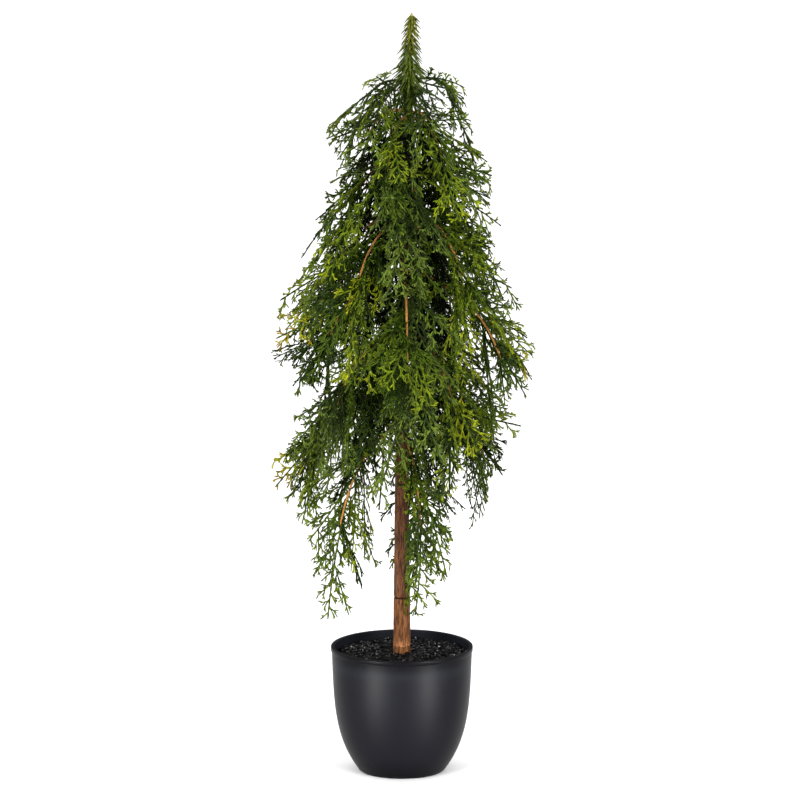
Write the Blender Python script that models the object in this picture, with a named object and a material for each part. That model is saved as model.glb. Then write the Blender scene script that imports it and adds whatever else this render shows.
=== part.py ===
"""Weeping cypress made of plastic sprays, standing in a round pot, 0.70 m tall.

Metres, +Z up. The origin is the middle of the pot's flat underside and the front is towards -Y.
The trunk is a stick wrapped in bark-like paper, in two lengths that meet in a groove. Limbs of
paper-wrapped wire leave it all the way up and weep. Each limb carries one mass of flat sprays,
which keeps to its own share of the crown, and a needled shoot ends the trunk.
"""

import math
import random
from collections import namedtuple

import bmesh
import bpy
from mathutils import Matrix, Vector, kdtree

# Overall sizes
OVERALL_HEIGHT = 0.700
GAP = 0.0003
UP = Vector((0.0, 0.0, 1.0))

# Pot: a bowl with straight upper walls and a small bead round its rim
POT_HEIGHT = 0.1156
POT_RIM_RADIUS = 0.0640
POT_FOOT_RADIUS = 0.0385
POT_TAPER = 0.0040
POT_BELLY_POWER = 4
POT_WALL = 0.0024
POT_FLOOR = 0.0030
POT_BEAD_HEIGHT = 0.0045
POT_BEAD_PROUD = 0.0006
POT_SIDES = 36
POT_WALL_STEPS = 6
FOOT_CROWDING = 1.5

# Grit that fills the pot, heaped a little towards the trunk
GRIT_TOP = 0.1090
GRIT_EDGE = 0.1060
GRIT_EDGE_RADIUS = 0.0560
GRIT_FLAT_RADIUS = 0.0120

# Trunk: radii are at the foot, on both sides of the groove and at the top
TRUNK_TOP = 0.644
TRUNK_FOOT_RADIUS = 0.0079
TRUNK_JOINT_HEIGHT = 0.1610
TRUNK_JOINT_RADIUS = 0.0073
TRUNK_TOP_RADIUS = 0.0022
GROOVE_DEPTH = 0.0011
GROOVE_HALF_WIDTH = 0.0009
GROOVE_PROFILE = ((-1.0, 0.0), (-0.3, 1.0), (0.3, 1.0), (1.0, 0.0))
TRUNK_LEAN = 0.0088
TRUNK_LEAN_START = 0.30
TRUNK_SIDES = 14
TRUNK_STEPS = 9

# Outline of the crown: height, radius there, and how far its middle lies to the right of the pot's
OUTLINE = (
    (0.143, 0.046, -0.022),
    (0.160, 0.054, -0.022),
    (0.195, 0.065, -0.014),
    (0.235, 0.084, -0.004),
    (0.268, 0.103, -0.013),
    (0.305, 0.102, 0.000),
    (0.342, 0.101, 0.008),
    (0.385, 0.117, 0.003),
    (0.434, 0.102, -0.003),
    (0.499, 0.080, 0.008),
    (0.555, 0.069, 0.012),
    (0.605, 0.064, 0.001),
    (0.635, 0.052, 0.000),
    (0.652, 0.020, 0.003),
)

# Limbs: tiers from the top of the tree down. A tier has its height on the trunk, the reach and height
# of the hanging tips, the droop of the shoulders, the number of limbs, the turn of the first one, how
# much of each line is bare limb, and the number of sprays. The top sprays grow straight from the trunk.
Tier = namedtuple("Tier", "height reach tip_height droop limbs first_turn bare sprays")
TIERS = (
    Tier(0.637, 0.046, 0.592, -0.24, 4, 20, 0.0, 4),
    Tier(0.604, 0.050, 0.530, -0.05, 4, 62, 0.2, 4),
    Tier(0.564, 0.058, 0.478, 0.00, 4, 10, 0.2, 5),
    Tier(0.518, 0.074, 0.420, 0.06, 4, 55, 0.2, 6),
    Tier(0.466, 0.098, 0.352, 0.10, 5, 54, 0.2, 6),
    Tier(0.410, 0.088, 0.306, 0.14, 4, 45, 0.2, 6),
    Tier(0.356, 0.084, 0.262, 0.18, 2, 2, 0.2, 6),
    Tier(0.326, 0.048, 0.210, 0.22, 1, 52, 0.2, 4),
    Tier(0.322, 0.060, 0.190, 0.20, 1, 202, 0.2, 5),
    Tier(0.316, 0.034, 0.196, 0.22, 1, 298, 0.2, 5),
)
TIER_SEED = 11
TURN_JITTER = 9.0
REACH_JITTER = 0.10
HEIGHT_JITTER = 0.006
SHOULDER = 0.86
LIMB_ROOT_RADIUS = 0.0020
LIMB_TIP_RADIUS = 0.0015
LIMB_SIDES = 5
LIMB_STEPS = 3

# Sprays: flat, toothed blades on a thin stem, in every mass. Each is the roomiest of a few trials.
SPRAY_TRIALS = 12
SPRAY_SEED = 404
SPRAY_LENGTH = 0.088
SPRAY_VARIATION = 0.15
SPRAY_SPREAD = (22.0, 66.0)
SPRAY_ROLL = 45.0
SPRAY_DISTANCE = 0.030
CROWDED = 0.2
COMPARED_AT = (0.5, 0.9)
TOOTH_ROOM = 0.5
STEEPEST = 0.2
TURN_TRIAL = 70.0
STRAIGHTER = 0.5
SPRAY_SAG = 0.10
SPRAY_FIRST = 0.04
STEM_ROOT_RADIUS = 0.0014
STEM_TIP_RADIUS = 0.0008
STEM_SIDES = 3
STEM_STEPS = 4
STEM_SHARE = 0.72
TEETH = 7
FEWEST_TEETH = 3
FIRST_TOOTH = 1.8
TOOTH_SHARE = 0.46
TOOTH_AT_ROOT = 0.3
TOOTH_GROWTH = 2.6
TOOTH_TAPER = 0.7
TOOTH_VARIATION = 0.2
TOOTH_ANGLE = 33.0
TOOTH_SAG = 0.2
TOOTH_HALF_BASE = 0.0060
RIB_HALF_WIDTH = 0.0024
RIB_HALF_THICKNESS = 0.0012
SHORTENED = (1.0, 0.7, 0.45)
STUB_SHARE = 0.02

# Shares of the crown: a blade stays this far inside its mass's own share and off every limb
SHARE_MARGIN = 0.0028
LIMB_CLEARANCE = 0.0016
SKELETON_STEPS = 22
TEST_STEP = 0.004
SHOOT_OWNER = 0

# Needled shoot that ends the trunk
SHOOT_ROOT_RADIUS = 0.0021
SHOOT_TIP_RADIUS = 0.0008
SHOOT_SLIMMER = (0.9, 0.7)
SHOOT_SIDES = 5
GOLDEN_TURN = 137.5
NEEDLES = 28
NEEDLE_START = 0.655
NEEDLE_END = 0.6965
NEEDLE_LONG = 0.0150
NEEDLE_SHORT = 0.0075
NEEDLE_FALL = 46.0
COLLAR_NEEDLES = 8
COLLAR_HEIGHT = 0.6545
COLLAR_DROP = 0.006
COLLAR_LENGTH = 0.020
COLLAR_FALL = 34.0
NEEDLE_RADIUS = 0.0009
NEEDLE_SIDES = 3

# Angles in degrees beyond which an edge stays sharp
POT_CREASE = 35
TRUNK_CREASE = 40
LIMB_CREASE = 50


def clear_scene():
    for obj in list(bpy.data.objects):
        bpy.data.objects.remove(obj)


def finish_material(name, colour, roughness, metallic=0.0):
    """One Principled material in the part's colour."""
    material = bpy.data.materials.new(name)
    material.use_nodes = True
    shader = material.node_tree.nodes["Principled BSDF"]
    shader.inputs["Base Color"].default_value = (*colour, 1.0)
    shader.inputs["Roughness"].default_value = roughness
    shader.inputs["Metallic"].default_value = metallic
    return material


def object_from(name, bm, material=None, crease=None):
    """A named object from a bmesh, which is freed. crease is the angle in degrees that stays sharp."""
    mesh = bpy.data.meshes.new(name)
    bm.to_mesh(mesh)
    bm.free()
    if material:
        mesh.materials.append(material)
    if crease is not None:
        mesh.shade_smooth()
        mesh.set_sharp_from_angle(angle=math.radians(crease))
    obj = bpy.data.objects.new(name, mesh)
    bpy.context.scene.collection.objects.link(obj)
    return obj


def turned(profile, sides):
    """A closed solid: the profile of (radius, height) spun about Z, with flat caps on its two ends."""
    bm = bmesh.new()
    points = [bm.verts.new((radius, 0.0, height)) for radius, height in profile]
    edges = [bm.edges.new(pair) for pair in zip(points, points[1:])]
    bmesh.ops.spin(
        bm, geom=points + edges, cent=(0, 0, 0), axis=UP, angle=math.tau, steps=sides, use_merge=True
    )
    bmesh.ops.holes_fill(bm, edges=[e for e in bm.edges if e.is_boundary], sides=0)
    bmesh.ops.recalc_face_normals(bm, faces=bm.faces)
    return bm


def tube(bm, centres, radii, side, sides, root_normal=None, pointed=False):
    """A closed limb through the centres, with side as a direction across it and, if pointed, a sharp tip."""
    rings = []
    last = len(centres) - 1
    for step, (centre, radius) in enumerate(zip(centres, radii)):
        along = (centres[min(step + 1, last)] - centres[max(step - 1, 0)]).normalized()
        if step == 0 and root_normal is not None:
            along = root_normal
        across = (side - along * side.dot(along)).normalized()
        other = along.cross(across)
        if pointed and step == last:
            rings.append([bm.verts.new(centre)] * sides)
            continue
        ring = []
        for corner in range(sides):
            turn = math.tau * corner / sides
            offset = across * math.cos(turn) + other * math.sin(turn)
            ring.append(bm.verts.new(centre + offset * radius))
        rings.append(ring)
    for lower, upper in zip(rings, rings[1:]):
        for corner in range(sides):
            following = (corner + 1) % sides
            quad = [lower[corner], lower[following], upper[following], upper[corner]]
            bm.faces.new(list(dict.fromkeys(quad)))
    bm.faces.new(list(reversed(rings[0])))
    if not pointed:
        bm.faces.new(rings[-1])


def pot_radius(height):
    """Outside radius of the pot wall: a straight taper with a belly that draws in to the foot."""
    below = 1.0 - height / POT_HEIGHT
    belly = POT_RIM_RADIUS - POT_FOOT_RADIUS - POT_TAPER
    return POT_RIM_RADIUS - POT_TAPER * below - belly * below**POT_BELLY_POWER


def wall_heights(bottom, top, steps):
    """Heights up the wall, closer together near the foot, where it curves most."""
    return [bottom + (top - bottom) * (step / steps) ** FOOT_CROWDING for step in range(steps + 1)]


def make_pot(material):
    bead_foot = POT_HEIGHT - POT_BEAD_HEIGHT
    profile = [(pot_radius(z), z) for z in wall_heights(0.0, bead_foot, POT_WALL_STEPS)]
    bead_radius = POT_RIM_RADIUS + POT_BEAD_PROUD
    profile.append((bead_radius, bead_foot + POT_BEAD_PROUD))
    profile.append((bead_radius, POT_HEIGHT - POT_BEAD_PROUD))
    profile.append((bead_radius - POT_BEAD_PROUD, POT_HEIGHT))
    profile.append((POT_RIM_RADIUS - POT_WALL + POT_BEAD_PROUD, POT_HEIGHT))
    profile.append((POT_RIM_RADIUS - POT_WALL, POT_HEIGHT - POT_BEAD_PROUD))
    inner = wall_heights(POT_FLOOR, GRIT_EDGE, POT_WALL_STEPS - 1)
    profile.extend((pot_radius(z) - POT_WALL, z) for z in reversed(inner))
    return object_from("pot", turned(profile, POT_SIDES), material, POT_CREASE)


def make_grit(material):
    inner = wall_heights(POT_FLOOR, GRIT_EDGE, POT_WALL_STEPS - 1)
    profile = [(pot_radius(z) - POT_WALL - GAP, max(z, POT_FLOOR + GAP)) for z in inner]
    profile.append((GRIT_EDGE_RADIUS, (GRIT_EDGE + GRIT_TOP) / 2))
    profile.append((GRIT_FLAT_RADIUS, GRIT_TOP))
    return object_from("potting_grit", turned(profile, POT_SIDES), material, POT_CREASE)


def trunk_centre(height):
    """The trunk stands straight and leans a little to the right near its top."""
    above = max(height - TRUNK_LEAN_START, 0.0) / (OVERALL_HEIGHT - TRUNK_LEAN_START)
    return Vector((TRUNK_LEAN * above * above, 0.0, height))


def trunk_radius(height):
    if height <= TRUNK_JOINT_HEIGHT:
        share = (height - GRIT_TOP) / (TRUNK_JOINT_HEIGHT - GRIT_TOP)
        return TRUNK_FOOT_RADIUS + (TRUNK_JOINT_RADIUS - TRUNK_FOOT_RADIUS) * share
    share = (height - TRUNK_JOINT_HEIGHT) / (TRUNK_TOP - TRUNK_JOINT_HEIGHT)
    return TRUNK_JOINT_RADIUS + (TRUNK_TOP_RADIUS - TRUNK_JOINT_RADIUS) * min(share, 1.0)


def make_trunk(material):
    """One stick from a flat cut on the grit to the needled shoot, with a groove where its lengths meet."""
    foot = GRIT_TOP + GAP
    groove = [
        (TRUNK_JOINT_HEIGHT + offset * GROOVE_HALF_WIDTH, depth * GROOVE_DEPTH)
        for offset, depth in GROOVE_PROFILE
    ]
    start = groove[-1][0]
    upper = [start + (TRUNK_TOP - start) * step / TRUNK_STEPS for step in range(1, TRUNK_STEPS + 1)]
    levels = [(foot, 0.0), *groove, *((height, 0.0) for height in upper)]
    bm = bmesh.new()
    centres = [trunk_centre(height) for height, _ in levels]
    radii = [trunk_radius(height) - cut for height, cut in levels]
    tube(bm, centres, radii, Vector((1, 0, 0)), TRUNK_SIDES, root_normal=UP)
    return object_from("trunk", bm, material, TRUNK_CREASE)


def outline(height):
    """Radius of the crown at a height, and where its middle lies. Outside the crown the radius is 0."""
    for (low, low_radius, low_middle), (high, high_radius, high_middle) in zip(OUTLINE, OUTLINE[1:]):
        if low <= height <= high:
            share = (height - low) / (high - low)
            radius = low_radius + (high_radius - low_radius) * share
            return radius, low_middle + (high_middle - low_middle) * share
    return 0.0, 0.0


class Limb:
    """One weeping branch: a curve from the trunk over a shoulder to the hanging tip of its mass."""

    def __init__(self, number, tier, turn, longer, shift):
        self.number = number
        self.bare = tier.bare
        self.sprays = tier.sprays
        self.outward = Vector((math.cos(turn), math.sin(turn), 0.0))
        self.across = Vector((-math.sin(turn), math.cos(turn), 0.0))
        height = tier.height + shift
        reach = tier.reach * longer
        fall = tier.height - tier.tip_height
        centre = trunk_centre(height)
        start = centre + self.outward * (trunk_radius(height) + GAP)
        shoulder = centre + self.outward * (reach * SHOULDER) - UP * (fall * tier.droop)
        tip = centre + self.outward * reach - UP * fall
        self.bend = (start, shoulder, tip)

    def at(self, share):
        start, shoulder, tip = self.bend
        rest = 1.0 - share
        return start * rest**2 + shoulder * (2.0 * rest * share) + tip * share**2

    def heading(self, share):
        start, shoulder, tip = self.bend
        return ((shoulder - start) * (1.0 - share) + (tip - shoulder) * share).normalized()

    def limb_radius(self, share):
        return LIMB_ROOT_RADIUS + (LIMB_TIP_RADIUS - LIMB_ROOT_RADIUS) * share / self.bare

    def stem_share(self, along):
        """The place on the line at a share of the mass's stem, which starts where the bare limb ends."""
        return self.bare + (1.0 - self.bare) * STEM_SHARE * along


def all_limbs():
    """The limbs of every tier, spread evenly round the trunk and then shifted a little by a seeded rule."""
    rule = random.Random(TIER_SEED)
    limbs = []
    for tier in TIERS:
        for place in range(tier.limbs):
            turn = tier.first_turn + 360.0 * place / tier.limbs + rule.uniform(-TURN_JITTER, TURN_JITTER)
            shift = rule.uniform(-HEIGHT_JITTER, HEIGHT_JITTER)
            longer = 1.0 + rule.uniform(-REACH_JITTER, REACH_JITTER)
            limbs.append(Limb(len(limbs) + 1, tier, math.radians(turn), longer, shift))
    return limbs


def make_limb(limb, material):
    steps = [limb.bare * step / LIMB_STEPS for step in range(LIMB_STEPS + 1)]
    bm = bmesh.new()
    centres = [limb.at(share) for share in steps]
    radii = [limb.limb_radius(share) for share in steps]
    tube(bm, centres, radii, limb.across, LIMB_SIDES, root_normal=limb.outward)
    return object_from(f"bough_{limb.number:02d}", bm, material, LIMB_CREASE)


class Crown:
    """Which mass each point of the crown belongs to, and how far the nearest limb is."""

    def __init__(self, limbs):
        steps = [step / SKELETON_STEPS for step in range(SKELETON_STEPS + 1)]
        shoot = [trunk_centre(TRUNK_TOP + (OVERALL_HEIGHT - TRUNK_TOP) * step) for step in steps]
        self.skeletons = {SHOOT_OWNER: self.tree(shoot)}
        points = []
        self.radii = []
        for limb in limbs:
            line = [limb.at(limb.bare + (1.0 - limb.bare) * step) for step in steps]
            self.skeletons[limb.number] = self.tree(line)
            if limb.bare:
                points.extend(limb.at(limb.bare * step) for step in steps)
                self.radii.extend(limb.limb_radius(limb.bare * step) for step in steps)
        self.wood = self.tree(points)

    @staticmethod
    def tree(points):
        made = kdtree.KDTree(len(points))
        for index, point in enumerate(points):
            made.insert(point, index)
        made.balance()
        return made

    def holds(self, owner, point):
        """True where the point lies in the outline and the owner's share, and off the trunk and limbs."""
        radius, middle = outline(point.z)
        if math.hypot(point.x - middle, point.y) > radius:
            return False
        own = self.skeletons[owner].find(point)[2]
        for other, tree in self.skeletons.items():
            if other != owner and tree.find(point)[2] < own + 2.0 * SHARE_MARGIN:
                return False
        if (point - trunk_centre(point.z)).length < trunk_radius(point.z) + LIMB_CLEARANCE:
            return False
        _, index, distance = self.wood.find(point)
        return distance > self.radii[index] + LIMB_CLEARANCE

    def holds_line(self, owner, first, second):
        steps = max(1, math.ceil((second - first).length / TEST_STEP))
        return all(
            self.holds(owner, first.lerp(second, step / steps)) for step in range(1, steps + 1)
        )


class Spray:
    """Where one flat spray starts on its mass's stem, its directions, and how uneven its teeth are."""

    def __init__(self, root, heading, across, length, uneven):
        self.root = root
        self.uneven = uneven
        self.heading = heading
        self.across = across
        self.normal = heading.cross(across).normalized()
        self.length = length

    def at(self, share):
        sag = UP * (SPRAY_SAG * self.length * share * share)
        return self.root + self.heading * (self.length * share) - sag


def spray_plan(limb, crown):
    """The sprays of one mass, from its limb to its tip: at each place, the trial with the most room."""
    rule = random.Random(SPRAY_SEED + limb.number)
    first_turn = rule.uniform(0.0, 360.0)
    sprays = []
    for place in range(limb.sprays):
        along = place / (limb.sprays - 1)
        turn = first_turn + GOLDEN_TURN * place
        trials = [spray_trial(limb, along, turn, rule) for _ in range(SPRAY_TRIALS)]
        scores = [spray_room(trial, limb.number, crown, sprays) for trial in trials]
        sprays.append(trials[scores.index(max(scores))])
    return sprays


def spray_trial(limb, along, turn, rule):
    """A spray that leaves the stem forwards, about the given turn round it. The last run on straighter."""
    share = limb.stem_share(SPRAY_FIRST + (1.0 - 2.0 * SPRAY_FIRST) * along)
    forward = limb.heading(share)
    outside = forward.cross(limb.across)
    angle = math.radians(turn + rule.uniform(-TURN_TRIAL, TURN_TRIAL))
    spread = math.radians(rule.uniform(*SPRAY_SPREAD)) * (1.0 - STRAIGHTER * along)
    aside = limb.across * math.cos(angle) + outside * math.sin(angle)
    heading = (forward * math.cos(spread) + aside * math.sin(spread)).normalized()
    level = heading.cross(limb.outward)
    level = level.normalized() if level.length > STEEPEST else limb.across.copy()
    roll = Matrix.Rotation(math.radians(rule.uniform(-SPRAY_ROLL, SPRAY_ROLL)), 3, heading)
    length = SPRAY_LENGTH * (1.0 + rule.uniform(-SPRAY_VARIATION, SPRAY_VARIATION))
    uneven = [1.0 + rule.uniform(-TOOTH_VARIATION, TOOTH_VARIATION) for _ in range(TEETH)]
    return Spray(limb.at(share), heading, roll @ level, length, uneven)


def spray_room(trial, owner, crown, others):
    """How much room a trial has: the nodes and teeth that fit, less where it lies close to the others."""
    room = 0.0
    for node in range(1, TEETH + 1):
        share = node / TEETH
        centre = trial.at(share)
        if not crown.holds(owner, centre):
            break
        room += 1.0
        for side in (1.0, -1.0):
            aside = trial.across * (side * trial.length * tooth_length(share) / 2.0)
            if crown.holds(owner, centre + aside):
                room += TOOTH_ROOM
    for other in others:
        for share in COMPARED_AT:
            apart = (trial.at(share) - other.at(share)).length
            room *= min(1.0, CROWDED + (1.0 - CROWDED) * apart / SPRAY_DISTANCE)
    return room


def tooth_length(share):
    """Length of a side tooth as a share of the spray: longest near the root, short at the tip."""
    return TOOTH_SHARE * (1.0 - share) ** TOOTH_TAPER * min(1.0, TOOTH_AT_ROOT + TOOTH_GROWTH * share)


def blade(spray, owner, crown):
    """One toothed blade as a closed lens, or None where too little of it fits the mass's share.

    Its rib has a node for each tooth. The teeth stand on the two sides by turns, with a notch between.
    """
    ribs = []
    previous = spray.root
    for node in range(TEETH):
        share = (node + FIRST_TOOTH) / (TEETH + FIRST_TOOTH)
        centre = spray.at(share)
        if not crown.holds_line(owner, previous, centre) and node > 0:
            break
        ribs.append((share, centre))
        previous = centre
    if len(ribs) < FEWEST_TEETH:
        return None
    bm = bmesh.new()
    root = bm.verts.new(spray.root - spray.heading * RIB_HALF_WIDTH)
    tops = [bm.verts.new(centre + spray.normal * RIB_HALF_THICKNESS) for _, centre in ribs]
    bottoms = [bm.verts.new(centre - spray.normal * RIB_HALF_THICKNESS) for _, centre in ribs]
    end = bm.verts.new(blade_tip(spray, owner, crown, ribs))
    for side in (1, -1):
        aside = spray.across * side
        edge = [(root, 0)]
        for node, (share, centre) in enumerate(ribs):
            base = centre + aside * RIB_HALF_WIDTH
            if (node + (side > 0)) % 2 == 0:
                continue
            length = spray.length * tooth_length(share) * spray.uneven[node]
            point = tooth_tip(spray, owner, crown, base, aside, length)
            half = spray.heading * TOOTH_HALF_BASE
            corners = (base - half, point, base + half) if point else (base,)
            edge.extend((bm.verts.new(corner), node) for corner in corners)
        edge.append((end, len(ribs) - 1))
        strip(bm, edge, tops)
        strip(bm, edge, bottoms)
    bmesh.ops.recalc_face_normals(bm, faces=bm.faces)
    return object_from("blade", bm)


def blade_tip(spray, owner, crown, ribs):
    """The point of a blade: its own tip, or a short end past its last node where it has no more room."""
    share, last = ribs[-1]
    whole = 1.0 - share if len(ribs) == TEETH else share / len(ribs)
    for shorter in SHORTENED:
        tip = spray.at(share + whole * shorter)
        if crown.holds_line(owner, last, tip):
            return tip
    return spray.at(share + STUB_SHARE)


def tooth_tip(spray, owner, crown, base, aside, whole):
    """The point of a side tooth, shortened until it fits the mass's share, or None where it doesn't fit."""
    angle = math.radians(TOOTH_ANGLE)
    lean = spray.heading * math.cos(angle) + aside * math.sin(angle)
    for shorter in SHORTENED:
        length = whole * shorter
        point = base + lean * length - UP * (TOOTH_SAG * length)
        if crown.holds_line(owner, base, point):
            return point
    return None


def strip(bm, edge, spine):
    """Faces between one edge of a blade and its raised spine. Each edge point names its spine vertex."""
    for (first, low), (second, high) in zip(edge, edge[1:]):
        for node in range(low, high):
            bm.faces.new([first, spine[node + 1], spine[node]])
        bm.faces.new([first, second, spine[high]])


def needle(root, heading, across, length):
    """A three-sided needle that tapers to a point."""
    bm = bmesh.new()
    tube(bm, [root, root + heading * length], [NEEDLE_RADIUS, 0.0], across, NEEDLE_SIDES, pointed=True)
    return object_from("needle", bm)


def keep_outer_shell(obj):
    """Fills any hollow that fusing sealed, and drops loose scraps, by keeping the largest shell alone."""
    bm = bmesh.new()
    bm.from_mesh(obj.data)
    waiting = set(bm.faces)
    shells = []
    while waiting:
        shell = {waiting.pop()}
        edge_of_shell = list(shell)
        while edge_of_shell:
            face = edge_of_shell.pop()
            for neighbour in {other for edge in face.edges for other in edge.link_faces} & waiting:
                waiting.remove(neighbour)
                shell.add(neighbour)
                edge_of_shell.append(neighbour)
        shells.append(shell)
    shells.sort(key=len)
    spare = [face for shell in shells[:-1] for face in shell]
    bmesh.ops.delete(bm, geom=spare, context="FACES")
    bm.to_mesh(obj.data)
    bm.free()


def fuse(core, pieces):
    """Joins the pieces to the core by one Boolean union, and removes them."""
    group = bpy.data.collections.new(core.name + "_pieces")
    bpy.context.scene.collection.children.link(group)
    for piece in pieces:
        bpy.context.scene.collection.objects.unlink(piece)
        group.objects.link(piece)
    union = core.modifiers.new("fuse", "BOOLEAN")
    union.operation = "UNION"
    union.operand_type = "COLLECTION"
    union.collection = group
    union.solver = "MANIFOLD"
    with bpy.context.temp_override(object=core, active_object=core):
        bpy.ops.object.modifier_apply(modifier=union.name)
    for piece in pieces:
        bpy.data.objects.remove(piece)
    bpy.data.collections.remove(group)
    keep_outer_shell(core)


def make_mass(limb, crown, material):
    """The stem that carries on from a limb's tip, with its sprays fused on."""
    heading = limb.heading(limb.bare) if limb.bare else limb.outward
    alongs = [step / STEM_STEPS for step in range(STEM_STEPS + 1)]
    centres = [limb.at(limb.stem_share(along)) for along in alongs]
    if limb.bare:
        centres[0] = centres[0] + heading * GAP
    radii = [STEM_ROOT_RADIUS + (STEM_TIP_RADIUS - STEM_ROOT_RADIUS) * along for along in alongs]
    bm = bmesh.new()
    tube(bm, centres, radii, limb.across, STEM_SIDES, root_normal=heading)
    core = object_from(f"foliage_{limb.number:02d}", bm, material)
    blades = [blade(spray, limb.number, crown) for spray in spray_plan(limb, crown)]
    fuse(core, [piece for piece in blades if piece])


def make_shoot(material):
    """The tip of the tree: a slim core whose needles fall away all round, over a collar of longer ones."""
    base = TRUNK_TOP + GAP
    heights = [base, NEEDLE_START, (NEEDLE_START + NEEDLE_END) / 2, NEEDLE_END, OVERALL_HEIGHT]
    middle_radii = [SHOOT_ROOT_RADIUS * slimmer for slimmer in SHOOT_SLIMMER]
    radii = [SHOOT_ROOT_RADIUS, *middle_radii, SHOOT_TIP_RADIUS, 0.0]
    bm = bmesh.new()
    centres = [trunk_centre(height) for height in heights]
    tube(bm, centres, radii, Vector((1, 0, 0)), SHOOT_SIDES, root_normal=UP, pointed=True)
    core = object_from("needled_shoot", bm, material)
    needles = []
    for place in range(NEEDLES + COLLAR_NEEDLES):
        collar = place < COLLAR_NEEDLES
        if collar:
            share = place / COLLAR_NEEDLES
            height = COLLAR_HEIGHT - COLLAR_DROP * share
            length = COLLAR_LENGTH
            fall = math.radians(COLLAR_FALL)
        else:
            share = (place - COLLAR_NEEDLES) / (NEEDLES - 1)
            height = NEEDLE_START + (NEEDLE_END - NEEDLE_START) * share
            length = NEEDLE_LONG + (NEEDLE_SHORT - NEEDLE_LONG) * share
            fall = math.radians(NEEDLE_FALL)
        turn = math.radians(GOLDEN_TURN * place)
        outward = Vector((math.cos(turn), math.sin(turn), 0.0))
        across = Vector((-math.sin(turn), math.cos(turn), 0.0))
        heading = outward * math.cos(fall) - UP * math.sin(fall)
        needles.append(needle(trunk_centre(height), heading, across, length))
    fuse(core, needles)


def main():
    clear_scene()
    pot_black = finish_material("pot_plastic", (0.035, 0.036, 0.039), 0.5)
    grit_black = finish_material("potting_grit", (0.012, 0.012, 0.013), 0.6)
    bark = finish_material("trunk_bark", (0.26, 0.12, 0.055), 0.75)
    wrap = finish_material("wire_wrap", (0.32, 0.14, 0.055), 0.8)
    green = finish_material("foliage_green", (0.065, 0.13, 0.02), 0.55)
    olive = finish_material("shoot_olive", (0.12, 0.15, 0.02), 0.55)
    make_pot(pot_black)
    make_grit(grit_black)
    make_trunk(bark)
    make_shoot(olive)
    limbs = all_limbs()
    crown = Crown(limbs)
    for limb in limbs:
        if limb.bare:
            make_limb(limb, wrap)
        make_mass(limb, crown, green)


main()
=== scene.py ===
"""Looks of a weeping cypress made of plastic sprays, standing in a round pot, 0.70 m tall.

Laid out as a Blender add-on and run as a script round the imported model. Metres, +Z up, with the
front towards -Y. The limbs, the outline of the crown and the places of the sprays follow the rule
that shapes the solids. Here each spray is carried on to its branches, twigs and scale-leaved tips.
"""

import math
import random
from collections import namedtuple

import bmesh
import bpy
import numpy as np
from bpy.props import FloatProperty, FloatVectorProperty, IntProperty, PointerProperty
from bpy.types import Operator, Panel, PropertyGroup
from mathutils import Matrix, Vector, kdtree, noise


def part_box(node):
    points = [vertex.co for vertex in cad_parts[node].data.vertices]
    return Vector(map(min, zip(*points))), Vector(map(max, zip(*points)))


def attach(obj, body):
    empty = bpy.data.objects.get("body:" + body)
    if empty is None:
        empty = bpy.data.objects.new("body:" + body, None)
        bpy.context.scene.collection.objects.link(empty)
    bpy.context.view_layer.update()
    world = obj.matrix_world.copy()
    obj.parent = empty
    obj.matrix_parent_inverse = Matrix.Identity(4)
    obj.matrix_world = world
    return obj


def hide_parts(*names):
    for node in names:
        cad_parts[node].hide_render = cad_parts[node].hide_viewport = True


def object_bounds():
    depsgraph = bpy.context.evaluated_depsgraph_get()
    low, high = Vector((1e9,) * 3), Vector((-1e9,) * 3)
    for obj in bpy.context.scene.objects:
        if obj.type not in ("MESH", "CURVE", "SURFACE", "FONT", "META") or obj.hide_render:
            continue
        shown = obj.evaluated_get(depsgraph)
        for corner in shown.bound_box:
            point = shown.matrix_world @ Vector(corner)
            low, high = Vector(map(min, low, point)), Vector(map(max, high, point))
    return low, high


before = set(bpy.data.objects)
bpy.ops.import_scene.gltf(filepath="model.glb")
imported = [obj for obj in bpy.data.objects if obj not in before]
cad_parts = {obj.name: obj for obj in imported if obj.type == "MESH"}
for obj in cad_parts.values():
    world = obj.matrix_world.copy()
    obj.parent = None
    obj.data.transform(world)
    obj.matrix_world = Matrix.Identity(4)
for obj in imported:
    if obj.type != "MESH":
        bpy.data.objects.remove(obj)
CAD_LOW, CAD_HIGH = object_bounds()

bl_info = {
    "name": "Weeping cypress in a pot",
    "version": (1, 0, 0),
    "blender": (4, 5, 0),
    "location": "3D View > Sidebar > Cypress",
    "description": "Builds the pot, grit, trunk, wires, sprays and needled tip of a plastic cypress",
    "category": "Object",
}

UP = Vector((0.0, 0.0, 1.0))
FRONT = Vector((0.0, -1.0, 0.0))
POT_LOW, POT_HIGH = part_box("pot")
GRIT_LOW, GRIT_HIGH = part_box("potting_grit")
TRUNK_LOW, TRUNK_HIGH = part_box("trunk")
OVERALL_HEIGHT = CAD_HIGH.z
BOUGH_NODES = sorted(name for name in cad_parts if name.startswith("bough_"))
FOLIAGE_NODES = sorted(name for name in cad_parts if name.startswith("foliage_"))

# Pot wall, as in the solids
POT_FOOT_RADIUS = 0.0385
POT_TAPER = 0.0040
POT_BELLY_POWER = 4
POT_WALL = 0.0024
POT_BEAD_HEIGHT = 0.0045
POT_BEAD_PROUD = 0.0006
POT_RIM_RADIUS = POT_HIGH.x - POT_BEAD_PROUD
POT_INSIDE = 0.0985
# Painted light: the upper inner wall and the inner half of the lip take a lighter colour that stands in for the
# light they catch, over these radii and heights
POT_PAINTED_LIGHT_RADII = (POT_RIM_RADIUS - 0.0018, POT_RIM_RADIUS - 0.0003)
POT_PAINTED_LIGHT_HEIGHTS = (POT_HIGH.z - 0.020, POT_HIGH.z - 0.014)

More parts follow.
